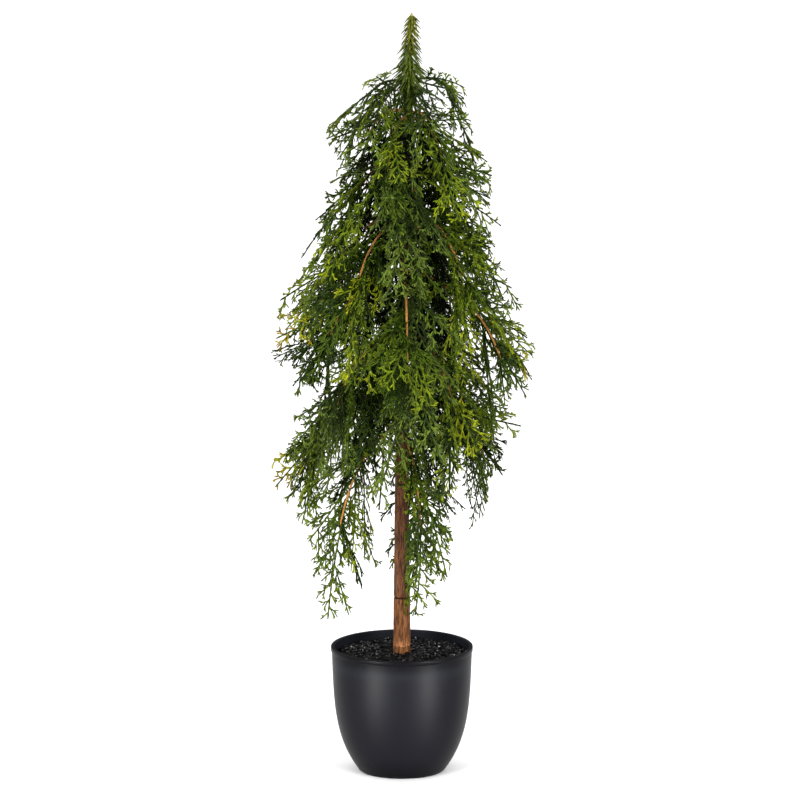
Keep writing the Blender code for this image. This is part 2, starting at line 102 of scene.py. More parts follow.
# Trunk, as in the solids
TRUNK_JOINT_HEIGHT = 0.1610
TRUNK_FOOT_RADIUS = 0.0079
TRUNK_JOINT_RADIUS = 0.0073
TRUNK_TOP_RADIUS = 0.0022
TRUNK_TOP = TRUNK_HIGH.z
TRUNK_LEAN = 0.0088
TRUNK_LEAN_START = 0.30
GROOVE_DEPTH = 0.0011
GROOVE_HALF_WIDTH = 0.0009
# Painted shade: heights over which a dark band is painted in the groove at the joint, standing in for its shadow
GROOVE_PAINTED_SHADE_HEIGHTS = (TRUNK_JOINT_HEIGHT - 0.0026, TRUNK_JOINT_HEIGHT + 0.0026)

# Outline of the crown: height, radius there, and how far its middle lies to the right of the pot's
OUTLINE = (
    (0.143, 0.046, -0.022),
    (0.160, 0.054, -0.022),
    (0.195, 0.065, -0.014),
    (0.235, 0.084, -0.004),
    (0.268, 0.103, -0.013),
    (0.305, 0.102, 0.000),
    (0.342, 0.101, 0.008),
    (0.385, 0.117, 0.003),
    (0.434, 0.102, -0.003),
    (0.499, 0.080, 0.008),
    (0.555, 0.069, 0.012),
    (0.605, 0.064, 0.001),
    (0.635, 0.052, 0.000),
    (0.652, 0.020, 0.003),
)

# How far the twigs reach at a height: to the left and to the right of the pot's middle
REACH = (
    (0.143, -0.070, 0.028),
    (0.190, -0.078, 0.040),
    (0.225, -0.082, 0.052),
    (0.242, -0.094, 0.076),
    (0.275, -0.116, 0.088),
    (0.300, -0.108, 0.094),
    (0.320, -0.100, 0.106),
    (0.370, -0.099, 0.119),
    (0.388, -0.115, 0.122),
    (0.420, -0.114, 0.120),
    (0.450, -0.105, 0.101),
    (0.465, -0.093, 0.090),
    (0.507, -0.087, 0.090),
    (0.522, -0.068, 0.085),
    (0.566, -0.065, 0.082),
    (0.582, -0.066, 0.067),
    (0.625, -0.060, 0.063),
    (0.644, -0.038, 0.060),
    (0.660, -0.014, 0.028),
)
REACH_HEIGHTS, REACH_LEFT, REACH_RIGHT = (np.array(row) for row in zip(*REACH))

# Limbs: tiers from the top of the tree down, and the seeded rule that places them
Tier = namedtuple("Tier", "height reach tip_height droop limbs first_turn bare sprays")
TIERS = (
    Tier(0.637, 0.046, 0.592, -0.24, 4, 20, 0.0, 4),
    Tier(0.604, 0.050, 0.530, -0.05, 4, 62, 0.2, 4),
    Tier(0.564, 0.058, 0.478, 0.00, 4, 10, 0.2, 5),
    Tier(0.518, 0.074, 0.420, 0.06, 4, 55, 0.2, 6),
    Tier(0.466, 0.098, 0.352, 0.10, 5, 54, 0.2, 6),
    Tier(0.410, 0.088, 0.306, 0.14, 4, 45, 0.2, 6),
    Tier(0.356, 0.084, 0.262, 0.18, 2, 2, 0.2, 6),
    Tier(0.326, 0.048, 0.210, 0.22, 1, 52, 0.2, 4),
    Tier(0.322, 0.060, 0.190, 0.20, 1, 202, 0.2, 5),
    Tier(0.316, 0.034, 0.196, 0.22, 1, 298, 0.2, 5),
)
TIER_SEED = 11
TURN_JITTER = 9.0
REACH_JITTER = 0.10
HEIGHT_JITTER = 0.006
SHOULDER = 0.86
GAP = 0.0003

# Sprays: where each starts on its mass's stem, and which way it hangs
SPRAY_TRIALS = 12
SPRAY_SEED = 404
SPRAY_LENGTH = 0.088
SPRAY_VARIATION = 0.15
SPRAY_SPREAD = (22.0, 66.0)
SPRAY_ROLL = 45.0
SPRAY_DISTANCE = 0.030
CROWDED = 0.2
COMPARED_AT = (0.5, 0.9)
TOOTH_ROOM = 0.5
STEEPEST = 0.2
TURN_TRIAL = 70.0
STRAIGHTER = 0.5
SPRAY_SAG = 0.10
SPRAY_FIRST = 0.04
STEM_SHARE = 0.72
TEETH = 7
TOOTH_SHARE = 0.46
TOOTH_AT_ROOT = 0.3
TOOTH_GROWTH = 2.6
TOOTH_TAPER = 0.7
TOOTH_VARIATION = 0.2
SHARE_MARGIN = 0.0028
LIMB_CLEARANCE = 0.0016
LIMB_ROOT_RADIUS = 0.0020
LIMB_TIP_RADIUS = 0.0015
SKELETON_STEPS = 22
SHOOT_OWNER = 0
GOLDEN_TURN = 137.5

# Sprays that the masses carry besides, which hide the trunk and the wires: share of the line at the
# root, turn from the limb's own direction, fall below the horizontal, and length
Filler = namedtuple("Filler", "name count share turn fall length roll")
INNER = Filler("inner", 3, (0.05, 0.22), 78.0, (60.0, 84.0), (0.070, 0.092), 60.0)
COVER = Filler("cover", 2, (0.03, 0.20), 34.0, (2.0, 30.0), (0.055, 0.075), 40.0)
CREST = Filler("crest", 0, (0.02, 0.10), 60.0, (0.0, 26.0), (0.054, 0.066), 50.0)
VEIL = Filler("veil", 3, (0.02, 0.10), 150.0, (66.0, 84.0), (0.080, 0.098), 75.0)
TIP = Filler("tip", 2, (0.58, 0.76), 60.0, (14.0, 60.0), (0.082, 0.100), 60.0)
TIP_HEIGHTS = (0.34, 0.55)
VEIL_HEIGHTS = (0.33, 0.42)
LOWEST_FULL_LIMB = 0.335
TURN_LOOSE = 14.0
FILLER_SEED = 900
RAGGED = (-0.011, 0.004)
BARE_TRUNK_BELOW = 0.262
BARE_TRUNK_SIDES = (-0.0115, 0.0020)
VIEW_SLOPE = 0.23
LOW_GAP_BELOW = 0.190
LOW_GAP_SIDES = (-0.036, -0.0115)

# Branches and twigs of one spray
RING_STEP = 0.0026
BRANCH_FIRST = 0.006
BRANCH_STEP = 0.0056
MAJOR_EVERY = 3
MINOR_SHARE = 0.46
BRANCH_LAST = 0.006
BRANCH_TAPER = 0.5
BRANCH_SHARE = 0.50
BRANCH_AT_ROOT = 0.45
BRANCH_ANGLE = 37.0
BRANCH_BEND = (-14.0, 30.0)
STEM_BEND = 20.0
SIDE_DROP = 11.0
TWIG_FIRST = 0.0036
TWIG_STEP = 0.0041
TWIG_LENGTH = 0.0110
TWIG_ANGLE = 34.0
TWIG_BEND = (-10.0, 22.0)
TIPLET_FROM = 0.0048
TIPLET_PLACES = (0.40, 0.72)
TIPLET_LENGTH = 0.0043
LOW_OPEN = 1.10
UNEVEN_STEP = 0.22
UNEVEN_LENGTH = 0.30
UNEVEN_ANGLE = 9.0
STEM_TILT = 0.05
BRANCH_TILT = 0.22
TWIG_TILT = 0.32
SCALE_NARROW = 0.70
TWIG_FLATNESS = 0.80
TWIG_SEED = 77
TRUNK_CLEARANCE = 0.0012
PIECE_TRIANGLES = 190000

# Half widths at the root and at the tip, by order: stem, branch, twig, tiplet
HALF_WIDTHS = ((0.00114, 0.00084), (0.00090, 0.00074), (0.00074, 0.00069), (0.00068, 0.00063))

# Shades from the old growth near the wire to the young tips, and how they are dealt out to a spray
SHADES = ("deep", "dark", "leaf", "fresh", "lime", "yellow", "gold", "sea", "sage")
DEEP_PAINTED_SHADE, DARK, LEAF, FRESH, LIME, YELLOW, GOLD, SEA, SAGE = range(len(SHADES))
GREY = (SEA, SEA, SAGE, SAGE, SAGE)
GREY_FRESH = (SEA, SEA, SAGE, SAGE, FRESH)
GREY_GILT = (SEA, SAGE, SAGE, LIME, GOLD)
OLD = (DARK, DARK, SEA, SEA, LEAF)
GREEN = (DARK, LEAF, LEAF, LEAF, FRESH)
YOUNG = (DARK, LEAF, FRESH, FRESH, FRESH)
EVEN = (LEAF, LEAF, LEAF, FRESH, FRESH)
BRIGHT = (LEAF, FRESH, FRESH, LIME, LIME)
VIVID = (FRESH, LIME, LIME, LIME, YELLOW)
GILT = (LEAF, LIME, YELLOW, GOLD, GOLD)
# Painted shade: the inner ladders below, mostly of the near-black deep colour, go to the sprays hung inside the
# crown and stand in for the shade there
INMOST = (DEEP_PAINTED_SHADE, DEEP_PAINTED_SHADE, DEEP_PAINTED_SHADE, DEEP_PAINTED_SHADE, DARK)
INNER_DARK = (DEEP_PAINTED_SHADE, DEEP_PAINTED_SHADE, DARK, DARK, DARK)
INNER_SEA = (DEEP_PAINTED_SHADE, DARK, DARK, SEA, SEA)
Tint = namedtuple("Tint", "weight ladder")
TINTS = (
    Tint(0.20, GREY), Tint(0.10, GREY_FRESH), Tint(0.16, OLD), Tint(0.21, GREEN), Tint(0.20, YOUNG),
    Tint(0.11, BRIGHT), Tint(0.015, VIVID), Tint(0.005, GILT),
)
TOP_TINTS = (
    Tint(0.30, GREY), Tint(0.22, GREY_FRESH), Tint(0.18, GREEN), Tint(0.20, YOUNG), Tint(0.10, BRIGHT),
)
TOP_LIMBS_ABOVE = 0.59
INNER_PAINTED_SHADE_TINTS = (Tint(0.50, INMOST), Tint(0.30, INNER_DARK), Tint(0.20, INNER_SEA))
TINT_SEED = 5
TINT_JITTER = 0.16

# Sprays that stand out in the photo: limb and share of its line at the root, place of the tip, roll
# from facing the front, in degrees, and ladder of shades
Accent = namedtuple("Accent", "limb share tip roll ladder")
ACCENTS = (
    Accent(1, 0.15, (0.060, -0.040, 0.647), 10.0, YOUNG),
    Accent(3, 0.05, (-0.009, -0.046, 0.569), 10.0, GREEN),
    Accent(3, 0.20, (-0.034, -0.056, 0.586), 20.0, GREY),
    Accent(3, 0.30, (-0.033, -0.066, 0.657), 0.0, BRIGHT),
    Accent(4, 0.05, (0.020, -0.050, 0.577), -10.0, YOUNG),
    Accent(6, 0.50, (-0.064, -0.040, 0.586), 10.0, GREEN),
    Accent(7, 0.45, (-0.002, -0.088, 0.549), 0.0, BRIGHT),
    Accent(8, 0.55, (0.049, -0.074, 0.517), -20.0, BRIGHT),
    Accent(9, 0.15, (0.083, -0.030, 0.564), 0.0, GREEN),
    Accent(9, 0.55, (0.086, -0.030, 0.512), 20.0, YOUNG),
    Accent(11, 0.40, (-0.090, -0.036, 0.502), 10.0, GREEN),
    Accent(11, 0.70, (-0.066, -0.050, 0.468), 20.0, BRIGHT),
    Accent(12, 0.45, (0.002, -0.094, 0.464), 0.0, GREY),
    Accent(15, 0.40, (-0.108, -0.030, 0.439), 0.0, YOUNG),
    Accent(16, 0.45, (0.090, -0.050, 0.472), 5.0, BRIGHT),
    Accent(16, 0.60, (0.112, -0.030, 0.436), 10.0, GREY),
    Accent(17, 0.70, (0.041, -0.080, 0.363), -10.0, OLD),
    Accent(19, 0.50, (-0.114, -0.036, 0.409), 10.0, GILT),
    Accent(19, 0.62, (-0.118, -0.040, 0.383), 65.0, OLD),
    Accent(19, 0.72, (-0.101, -0.036, 0.361), -15.0, GREY),
    Accent(20, 0.10, (-0.056, -0.078, 0.450), 15.0, VIVID),
    Accent(20, 0.25, (0.043, -0.092, 0.407), -10.0, GREY_FRESH),
    Accent(20, 0.45, (-0.050, -0.088, 0.378), 20.0, BRIGHT),
    Accent(20, 0.65, (0.020, -0.092, 0.315), 0.0, GREY),
    Accent(20, 0.80, (-0.003, -0.080, 0.291), 0.0, GREY),
    Accent(21, 0.30, (0.105, -0.060, 0.429), -15.0, GREY),
    Accent(21, 0.40, (0.120, -0.050, 0.390), 8.0, GREY_GILT),
    Accent(21, 0.62, (0.111, -0.040, 0.355), 20.0, GREEN),
    Accent(24, 0.20, (-0.027, -0.080, 0.310), 10.0, OLD),
    Accent(24, 0.55, (-0.094, -0.040, 0.305), 0.0, GREY),
    Accent(25, 0.70, (0.077, -0.040, 0.238), 50.0, OLD),
    Accent(26, 0.30, (0.106, -0.030, 0.317), 0.0, YOUNG),
    Accent(26, 0.40, (0.089, -0.010, 0.281), 0.0, OLD),
    Accent(27, 0.45, (-0.115, -0.012, 0.263), 0.0, GILT),
    Accent(27, 0.60, (-0.088, -0.016, 0.231), 20.0, EVEN),
    Accent(29, 0.15, (-0.045, -0.040, 0.267), 20.0, OLD),
    Accent(29, 0.45, (-0.079, -0.014, 0.206), 15.0, EVEN),
    Accent(29, 0.55, (-0.074, -0.020, 0.155), 0.0, EVEN),
    Accent(29, 0.60, (-0.028, -0.010, 0.190), -50.0, EVEN),
    Accent(30, 0.05, (0.008, -0.030, 0.256), 0.0, BRIGHT),
    Accent(30, 0.35, (0.043, -0.020, 0.195), -15.0, EVEN),
    Accent(30, 0.55, (0.026, -0.012, 0.150), 10.0, EVEN),
)
ACCENT_REACH = 0.006
ACCENT_SEED = 31

WIRE_SIDES = 10
WIRE_STEP = 0.0011
WIRE_RADII = (0.00135, 0.00110, 0.00080)
WRAP_PITCH = 0.0046
WRAP_RELIEF = 0.10


def sRGB(red, green, blue):
    """A display colour, 0 to 255, as the linear colour that a shader takes."""
    return tuple((c / 12.92 if c <= 0.04045 else ((c + 0.055) / 1.055) ** 2.4) for c in
                 (red / 255, green / 255, blue / 255))


def colour_property(name, description, default):
    return FloatVectorProperty(
        name=name, description=description, default=default, subtype="COLOR", size=3, min=0.0, max=1.0
    )


def length_property(name, description, default):
    return FloatProperty(name=name, description=description, default=default, unit="LENGTH", precision=5)


class PotSettings(PropertyGroup):
    """Sizes and colours of the pot and what fills it."""

    height: length_property("Height", "Height of the pot to the top of its rim", POT_HIGH.z)
    rim_radius: length_property("Rim radius", "Radius of the wall just under the rim", POT_RIM_RADIUS)
    sides: IntProperty(name="Sides", description="Faces round the pot", default=144, min=24)
    plastic: colour_property("Plastic", "Colour of the pot", sRGB(4, 4, 6))
    # Painted light: this lighter colour on the pot's inner wall and lip stands in for the light they catch; the
    # plastic itself is all one black
    inside: colour_property("Inside", "Colour of the pot's inner wall and lip", sRGB(26, 28, 33))
    crumbs: IntProperty(name="Crumbs", description="Crumbs of grit on the filling", default=3000, min=0)
    crumb_radius: length_property("Crumb radius", "Mean radius of a crumb", 0.0014)
    grit: colour_property("Grit", "Colour of the crumbs", sRGB(6, 6, 6))


class TrunkSettings(PropertyGroup):
    """Bark of the trunk and wrapping of the wires."""

    sides: IntProperty(name="Sides", description="Faces round the trunk", default=64, min=12)
    relief: length_property("Relief", "Depth of the bark's furrows", 0.00055)
    bark: colour_property("Bark", "Colour of the bark's ridges", sRGB(130, 88, 56))
    furrow: colour_property("Furrow", "Colour of the bark's furrows", sRGB(50, 34, 24))
    wrap: colour_property("Wrap", "Colour of the paper round the wires", sRGB(172, 120, 62))


class SpraySettings(PropertyGroup):
    """Colours of the sprays, from the old growth to the young tips."""

    # Painted shade: the deep colour is near black and goes only to the sprays inside the crown, where it stands in
    # for the shade there
    deep: colour_property("Deep", "Oldest growth, near the wires", sRGB(9, 16, 0))
    dark: colour_property("Dark", "Old growth", sRGB(26, 42, 1))
    leaf: colour_property("Leaf", "Main green", sRGB(63, 82, 6))
    fresh: colour_property("Fresh", "Younger growth", sRGB(94, 110, 12))
    lime: colour_property("Lime", "Bright young tips", sRGB(131, 141, 16))
    yellow: colour_property("Yellow", "Yellow tips", sRGB(148, 146, 24))
    gold: colour_property("Gold", "Golden brown tips", sRGB(134, 112, 24))
    sea: colour_property("Sea", "Old growth of the bluish sprays", sRGB(41, 57, 12))
    sage: colour_property("Sage", "Young growth of the bluish sprays", sRGB(84, 101, 31))
    spare: IntProperty(name="Spare sprays", description="Sprays added to each mass", default=1, min=0)


class StageSettings(PropertyGroup):
    """Camera, floor and studio light."""

    distance: length_property("Distance", "Distance of the camera from the plant", 10.0)
    elevation: FloatProperty(
        name="Elevation", description="How far the camera looks down", default=math.radians(12.24),
        subtype="ANGLE",
    )
    field: length_property("Field", "Height of the view at the plant", 0.7242)
    aim_height: length_property("Aim", "Height that the middle of the view looks at", 0.3440)
    aim_aside: length_property("Aside", "How far right of the pot's middle the view looks", -0.0017)
    floor: colour_property("Floor", "Colour of the floor", (0.95, 0.95, 0.95))


def deselect_all():
    if bpy.context.mode != "OBJECT":
        bpy.ops.object.mode_set(mode="OBJECT")
    bpy.ops.object.select_all(action="DESELECT")


def make_active(obj):
    deselect_all()
    obj.select_set(True)
    bpy.context.view_layer.objects.active = obj


def finished(obj, name, material):
    """Names a piece, gives it its material, and lets it ride on the object's one body."""
    obj.name = name
    obj.data.name = name
    obj.data.materials.clear()
    obj.data.materials.append(material)
    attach(obj, "root")
    return obj


def select_faces(obj, test):
    """Selects the faces, in edit mode, whose middle and normal pass the test."""
    bm = bmesh.from_edit_mesh(obj.data)
    for face in bm.faces:
        face.select_set(bool(test(face.calc_center_median(), face.normal)))
    bm.select_flush_mode()
    bmesh.update_edit_mesh(obj.data)


def drawn_through(rings, sides):
    """A closed round body: a short cylinder whose top is drawn on from ring to ring, (x, z, radius)."""
    (x, z, radius), (next_x, next_z, next_radius) = rings[:2]
    deselect_all()
    bpy.ops.mesh.primitive_cylinder_add(
        vertices=sides, radius=radius, depth=next_z - z, end_fill_type="NGON",
        location=(x, 0.0, (z + next_z) / 2.0),
    )
    obj = bpy.context.object
    bpy.ops.object.transform_apply(location=True, rotation=True, scale=True)
    bpy.ops.object.mode_set(mode="EDIT")
    bpy.ops.mesh.select_mode(type="FACE")
    select_faces(obj, lambda middle, normal: normal.z > 0.9)
    bpy.ops.transform.translate(value=(next_x - x, 0.0, 0.0))
    scale_ring(next_radius / radius, (next_x, 0.0, next_z))
    for following in rings[2:]:
        x, z, radius = next_x, next_z, next_radius
        next_x, next_z, next_radius = following
        bpy.ops.mesh.extrude_region_move(
            TRANSFORM_OT_translate={"value": (next_x - x, 0.0, next_z - z)}
        )
        scale_ring(next_radius / radius, (next_x, 0.0, next_z))
    bpy.ops.object.mode_set(mode="OBJECT")
    return obj


def scale_ring(factor, centre):
    bpy.ops.transform.resize(value=(factor, factor, 1.0), center_override=centre)


def mesh_from_arrays(name, vertices, quads, triangles):
    """A mesh object from arrays of points and of the corners of its faces."""
    mesh = bpy.data.meshes.new(name)
    mesh.vertices.add(len(vertices))
    mesh.vertices.foreach_set("co", np.asarray(vertices, np.float32).ravel())
    corners = np.concatenate([quads.ravel(), triangles.ravel()]).astype(np.int32)
    mesh.loops.add(len(corners))
    mesh.loops.foreach_set("vertex_index", corners)
    counts = np.concatenate([np.full(len(quads), 4), np.full(len(triangles), 3)])
    starts = np.concatenate([[0], np.cumsum(counts)[:-1]])
    mesh.polygons.add(len(counts))
    mesh.polygons.foreach_set("loop_start", starts.astype(np.int32))
    mesh.update(calc_edges=True)
    mesh.validate()
    mesh.shade_smooth()
    obj = bpy.data.objects.new(name, mesh)
    bpy.context.scene.collection.objects.link(obj)
    return obj


def unit_rows(rows):
    return rows / np.maximum(np.linalg.norm(rows, axis=1), 1e-9)[:, None]


# Materials

def new_material(name):
    """An empty Principled material, with its nodes, links and shader."""
    material = bpy.data.materials.new(name)
    material.use_nodes = True
    tree = material.node_tree
    return material, tree, tree.nodes["Principled BSDF"]


def new_group(name, inputs, outputs):
    """A shader group with float or colour inputs, given as name: default, and typed outputs."""
    group = bpy.data.node_groups.new(name, "ShaderNodeTree")
    for socket, default in inputs.items():
        kind = "NodeSocketFloat" if isinstance(default, float) else "NodeSocketColor"
        made = group.interface.new_socket(name=socket, in_out="INPUT", socket_type=kind)
        made.default_value = default
    for socket, kind in outputs.items():
        group.interface.new_socket(name=socket, in_out="OUTPUT", socket_type=kind)
    entry = group.nodes.new("NodeGroupInput")
    leave = group.nodes.new("NodeGroupOutput")
    return group, entry, leave


def place_group(tree, group, values):
    node = tree.nodes.new("ShaderNodeGroup")
    node.node_tree = group
    for socket, value in values.items():
        node.inputs[socket].default_value = value
    return node


def noise_node(tree, vector, scale, detail=3.0, roughness=0.55):
    node = tree.nodes.new("ShaderNodeTexNoise")
    node.inputs["Scale"].default_value = scale
    node.inputs["Detail"].default_value = detail
    node.inputs["Roughness"].default_value = roughness
    if vector:
        tree.links.new(vector, node.inputs["Vector"])
    return node


def ramp_node(tree, value, stops):
    """A colour ramp through (place, colour) stops."""
    node = tree.nodes.new("ShaderNodeValToRGB")
    elements = node.color_ramp.elements
    while len(elements) > len(stops):
        elements.remove(elements[-1])
    while len(elements) < len(stops):
        elements.new(0.5)
    for element, (place, colour) in zip(elements, stops):
        element.position = place
        element.color = (*colour, 1.0) if len(colour) == 3 else colour
    tree.links.new(value, node.inputs["Fac"])
    return node


def mix_colours(tree, factor, first, second, blend="MIX"):
    node = tree.nodes.new("ShaderNodeMix")
    node.data_type = "RGBA"
    node.blend_type = blend
    for socket, value in (("Factor", factor), ("A", first), ("B", second)):
        target = next(s for s in node.inputs if s.name == socket and s.enabled)
        if hasattr(value, "node"):
            tree.links.new(value, target)
        elif isinstance(value, float):
            target.default_value = value
        else:
            target.default_value = (*value, 1.0) if len(value) == 3 else value
    return next(s for s in node.outputs if s.enabled)


def range_node(tree, value, low, high, source=(0.0, 1.0)):
    """A value that runs over the source range, as one that runs from low to high."""
    node = tree.nodes.new("ShaderNodeMapRange")
    node.inputs["From Min"].default_value, node.inputs["From Max"].default_value = source
    node.inputs["To Min"].default_value = low
    node.inputs["To Max"].default_value = high
    tree.links.new(value, node.inputs["Value"])
    return node.outputs["Result"]


def bump_into(tree, shader, height, strength, distance):
    bump = tree.nodes.new("ShaderNodeBump")
    bump.inputs["Strength"].default_value = strength
    bump.inputs["Distance"].default_value = distance
    tree.links.new(height, bump.inputs["Height"])
    tree.links.new(bump.outputs["Normal"], shader.inputs["Normal"])


def mottle_group():
    """Moulded plastic leaf: a mottle of two colours, an uneven gloss and a fine grain, with flecks at the size of
    the scale leaves that are partly random tone and partly painted highlight and shade on them.
    """
    known = bpy.data.node_groups.get("leaf_mottle")
    if known:
        return known
    group, entry, leave = new_group(
        "leaf_mottle",
        {"Light": (0.1, 0.2, 0.05, 1.0), "Shade": (0.05, 0.1, 0.03, 1.0), "Patch scale": 90.0,
         "Grain scale": 900.0, "Gloss low": 0.4, "Gloss high": 0.6},
        {"Colour": "NodeSocketColor", "Gloss": "NodeSocketFloat", "Height": "NodeSocketFloat"},
    )
    place = group.nodes.new("ShaderNodeTexCoord").outputs["Object"]
    patch = noise_node(group, place, 90.0, 3.0)
    grain = noise_node(group, place, 900.0, 2.0)
    group.links.new(entry.outputs["Patch scale"], patch.inputs["Scale"])
    group.links.new(entry.outputs["Grain scale"], grain.inputs["Scale"])
    spread = group.nodes.new("ShaderNodeMapRange")
    spread.inputs["From Min"].default_value = 0.36
    spread.inputs["From Max"].default_value = 0.64
    group.links.new(patch.outputs["Fac"], spread.inputs["Value"])
    colour = mix_colours(
        group, spread.outputs["Result"], entry.outputs["Shade"], entry.outputs["Light"]
    )
    # Partly painted light: random lighter and darker flecks at the size of the scale leaves stand in for their
    # highlights and shade as well as their tone
    scale_sheen_and_shade = group.nodes.new("ShaderNodeMapRange")
    scale_sheen_and_shade.inputs["From Min"].default_value = 0.38
    scale_sheen_and_shade.inputs["From Max"].default_value = 0.62
    scale_sheen_and_shade.inputs["To Min"].default_value = 0.55
    scale_sheen_and_shade.inputs["To Max"].default_value = 1.45
    group.links.new(noise_node(group, place, 300.0, 2.0).outputs["Fac"], scale_sheen_and_shade.inputs["Value"])
    colour = mix_colours(group, 1.0, colour, scale_sheen_and_shade.outputs["Result"], "MULTIPLY")
    gloss = group.nodes.new("ShaderNodeMapRange")
    group.links.new(grain.outputs["Fac"], gloss.inputs["Value"])
    group.links.new(entry.outputs["Gloss low"], gloss.inputs["To Min"])
    group.links.new(entry.outputs["Gloss high"], gloss.inputs["To Max"])
    group.links.new(colour, leave.inputs["Colour"])
    group.links.new(gloss.outputs["Result"], leave.inputs["Gloss"])
    group.links.new(grain.outputs["Fac"], leave.inputs["Height"])
    return group


def darker(colour, share):
    return tuple(channel * share for channel in colour)


def leaf_material(name, colour, specular=0.12):
    """One shade of the sprays' plastic."""
    material, tree, shader = new_material(name)
    node = place_group(tree, mottle_group(), {
        "Light": (*colour, 1.0),
        "Shade": (*darker(colour, 0.62), 1.0),
        "Patch scale": 70.0,
        "Grain scale": 700.0,
        "Gloss low": 0.42,
        "Gloss high": 0.62,
    })
    tree.links.new(node.outputs["Colour"], shader.inputs["Base Color"])
    tree.links.new(node.outputs["Gloss"], shader.inputs["Roughness"])
    shader.inputs["Specular IOR Level"].default_value = specular
    bump_into(tree, shader, node.outputs["Height"], 0.50, 0.0003)
    return material


def pot_material(settings):
    """Satin black plastic with the fine texture of its mould, and painted light: the upper inner wall and the lip
    are lighter.
    """
    material, tree, shader = new_material("pot_satin_plastic")
    place = tree.nodes.new("ShaderNodeTexCoord").outputs["Object"]
    cloud = noise_node(tree, place, 22.0, 4.0)
    grain = noise_node(tree, place, 1500.0, 2.0)
    colour = mix_colours(
        tree, cloud.outputs["Fac"], darker(settings.plastic, 0.86), darker(settings.plastic, 1.12)
    )
    parts = tree.nodes.new("ShaderNodeSeparateXYZ")
    tree.links.new(place, parts.inputs["Vector"])
    flat = tree.nodes.new("ShaderNodeCombineXYZ")
    tree.links.new(parts.outputs["X"], flat.inputs["X"])
    tree.links.new(parts.outputs["Y"], flat.inputs["Y"])
    radius = tree.nodes.new("ShaderNodeVectorMath")
    radius.operation = "LENGTH"
    tree.links.new(flat.outputs["Vector"], radius.inputs[0])
    # Painted light: mask of the upper inner wall and the inner half of the lip, mixed towards a lighter colour that
    # stands in for the light they catch
    inner = range_node(tree, radius.outputs["Value"], 1.0, 0.0, POT_PAINTED_LIGHT_RADII)
    high = range_node(tree, parts.outputs["Z"], 0.0, 1.0, POT_PAINTED_LIGHT_HEIGHTS)
    lip = tree.nodes.new("ShaderNodeMath")
    lip.operation = "MULTIPLY"
    tree.links.new(inner, lip.inputs[0])
    tree.links.new(high, lip.inputs[1])
    colour = mix_colours(tree, lip.outputs["Value"], colour, settings.inside)
    tree.links.new(colour, shader.inputs["Base Color"])
    tree.links.new(range_node(tree, cloud.outputs["Fac"], 0.36, 0.44), shader.inputs["Roughness"])
    shader.inputs["Specular IOR Level"].default_value = 0.055
    bump_into(tree, shader, grain.outputs["Fac"], 0.03, 0.0002)
    return material


def grit_material(settings):
    """Glossy black crumbs, each a little lighter or darker."""
    material, tree, shader = new_material("grit_gloss")
    place = tree.nodes.new("ShaderNodeTexCoord").outputs["Object"]
    patch = noise_node(tree, place, 420.0, 2.0)
    grain = noise_node(tree, place, 2600.0, 2.0)
    colour = ramp_node(tree, patch.outputs["Fac"], (
        (0.35, darker(settings.grit, 0.4)), (0.60, settings.grit), (0.75, darker(settings.grit, 2.4)),
    ))
    glints = ramp_node(tree, patch.outputs["Fac"], ((0.54, (0.0, 0.0, 0.0)), (0.60, (1.0, 1.0, 1.0))))
    tree.links.new(colour.outputs["Color"], shader.inputs["Base Color"])
    tree.links.new(glints.outputs["Color"], shader.inputs["Coat Weight"])
    shader.inputs["Coat Roughness"].default_value = 0.16
    shader.inputs["Specular IOR Level"].default_value = 0.05
    tree.links.new(range_node(tree, patch.outputs["Fac"], 0.35, 0.65), shader.inputs["Roughness"])
    bump_into(tree, shader, grain.outputs["Fac"], 0.5, 0.0003)
    return material


def fibre_coordinates(tree, stretch):
    """Object coordinates drawn out along Z, for a grain that runs up the trunk."""
    mapping = tree.nodes.new("ShaderNodeMapping")
    mapping.inputs["Scale"].default_value = (1.0, 1.0, 1.0 / stretch)
    place = tree.nodes.new("ShaderNodeTexCoord").outputs["Object"]
    tree.links.new(place, mapping.inputs["Vector"])
    return mapping.outputs["Vector"]


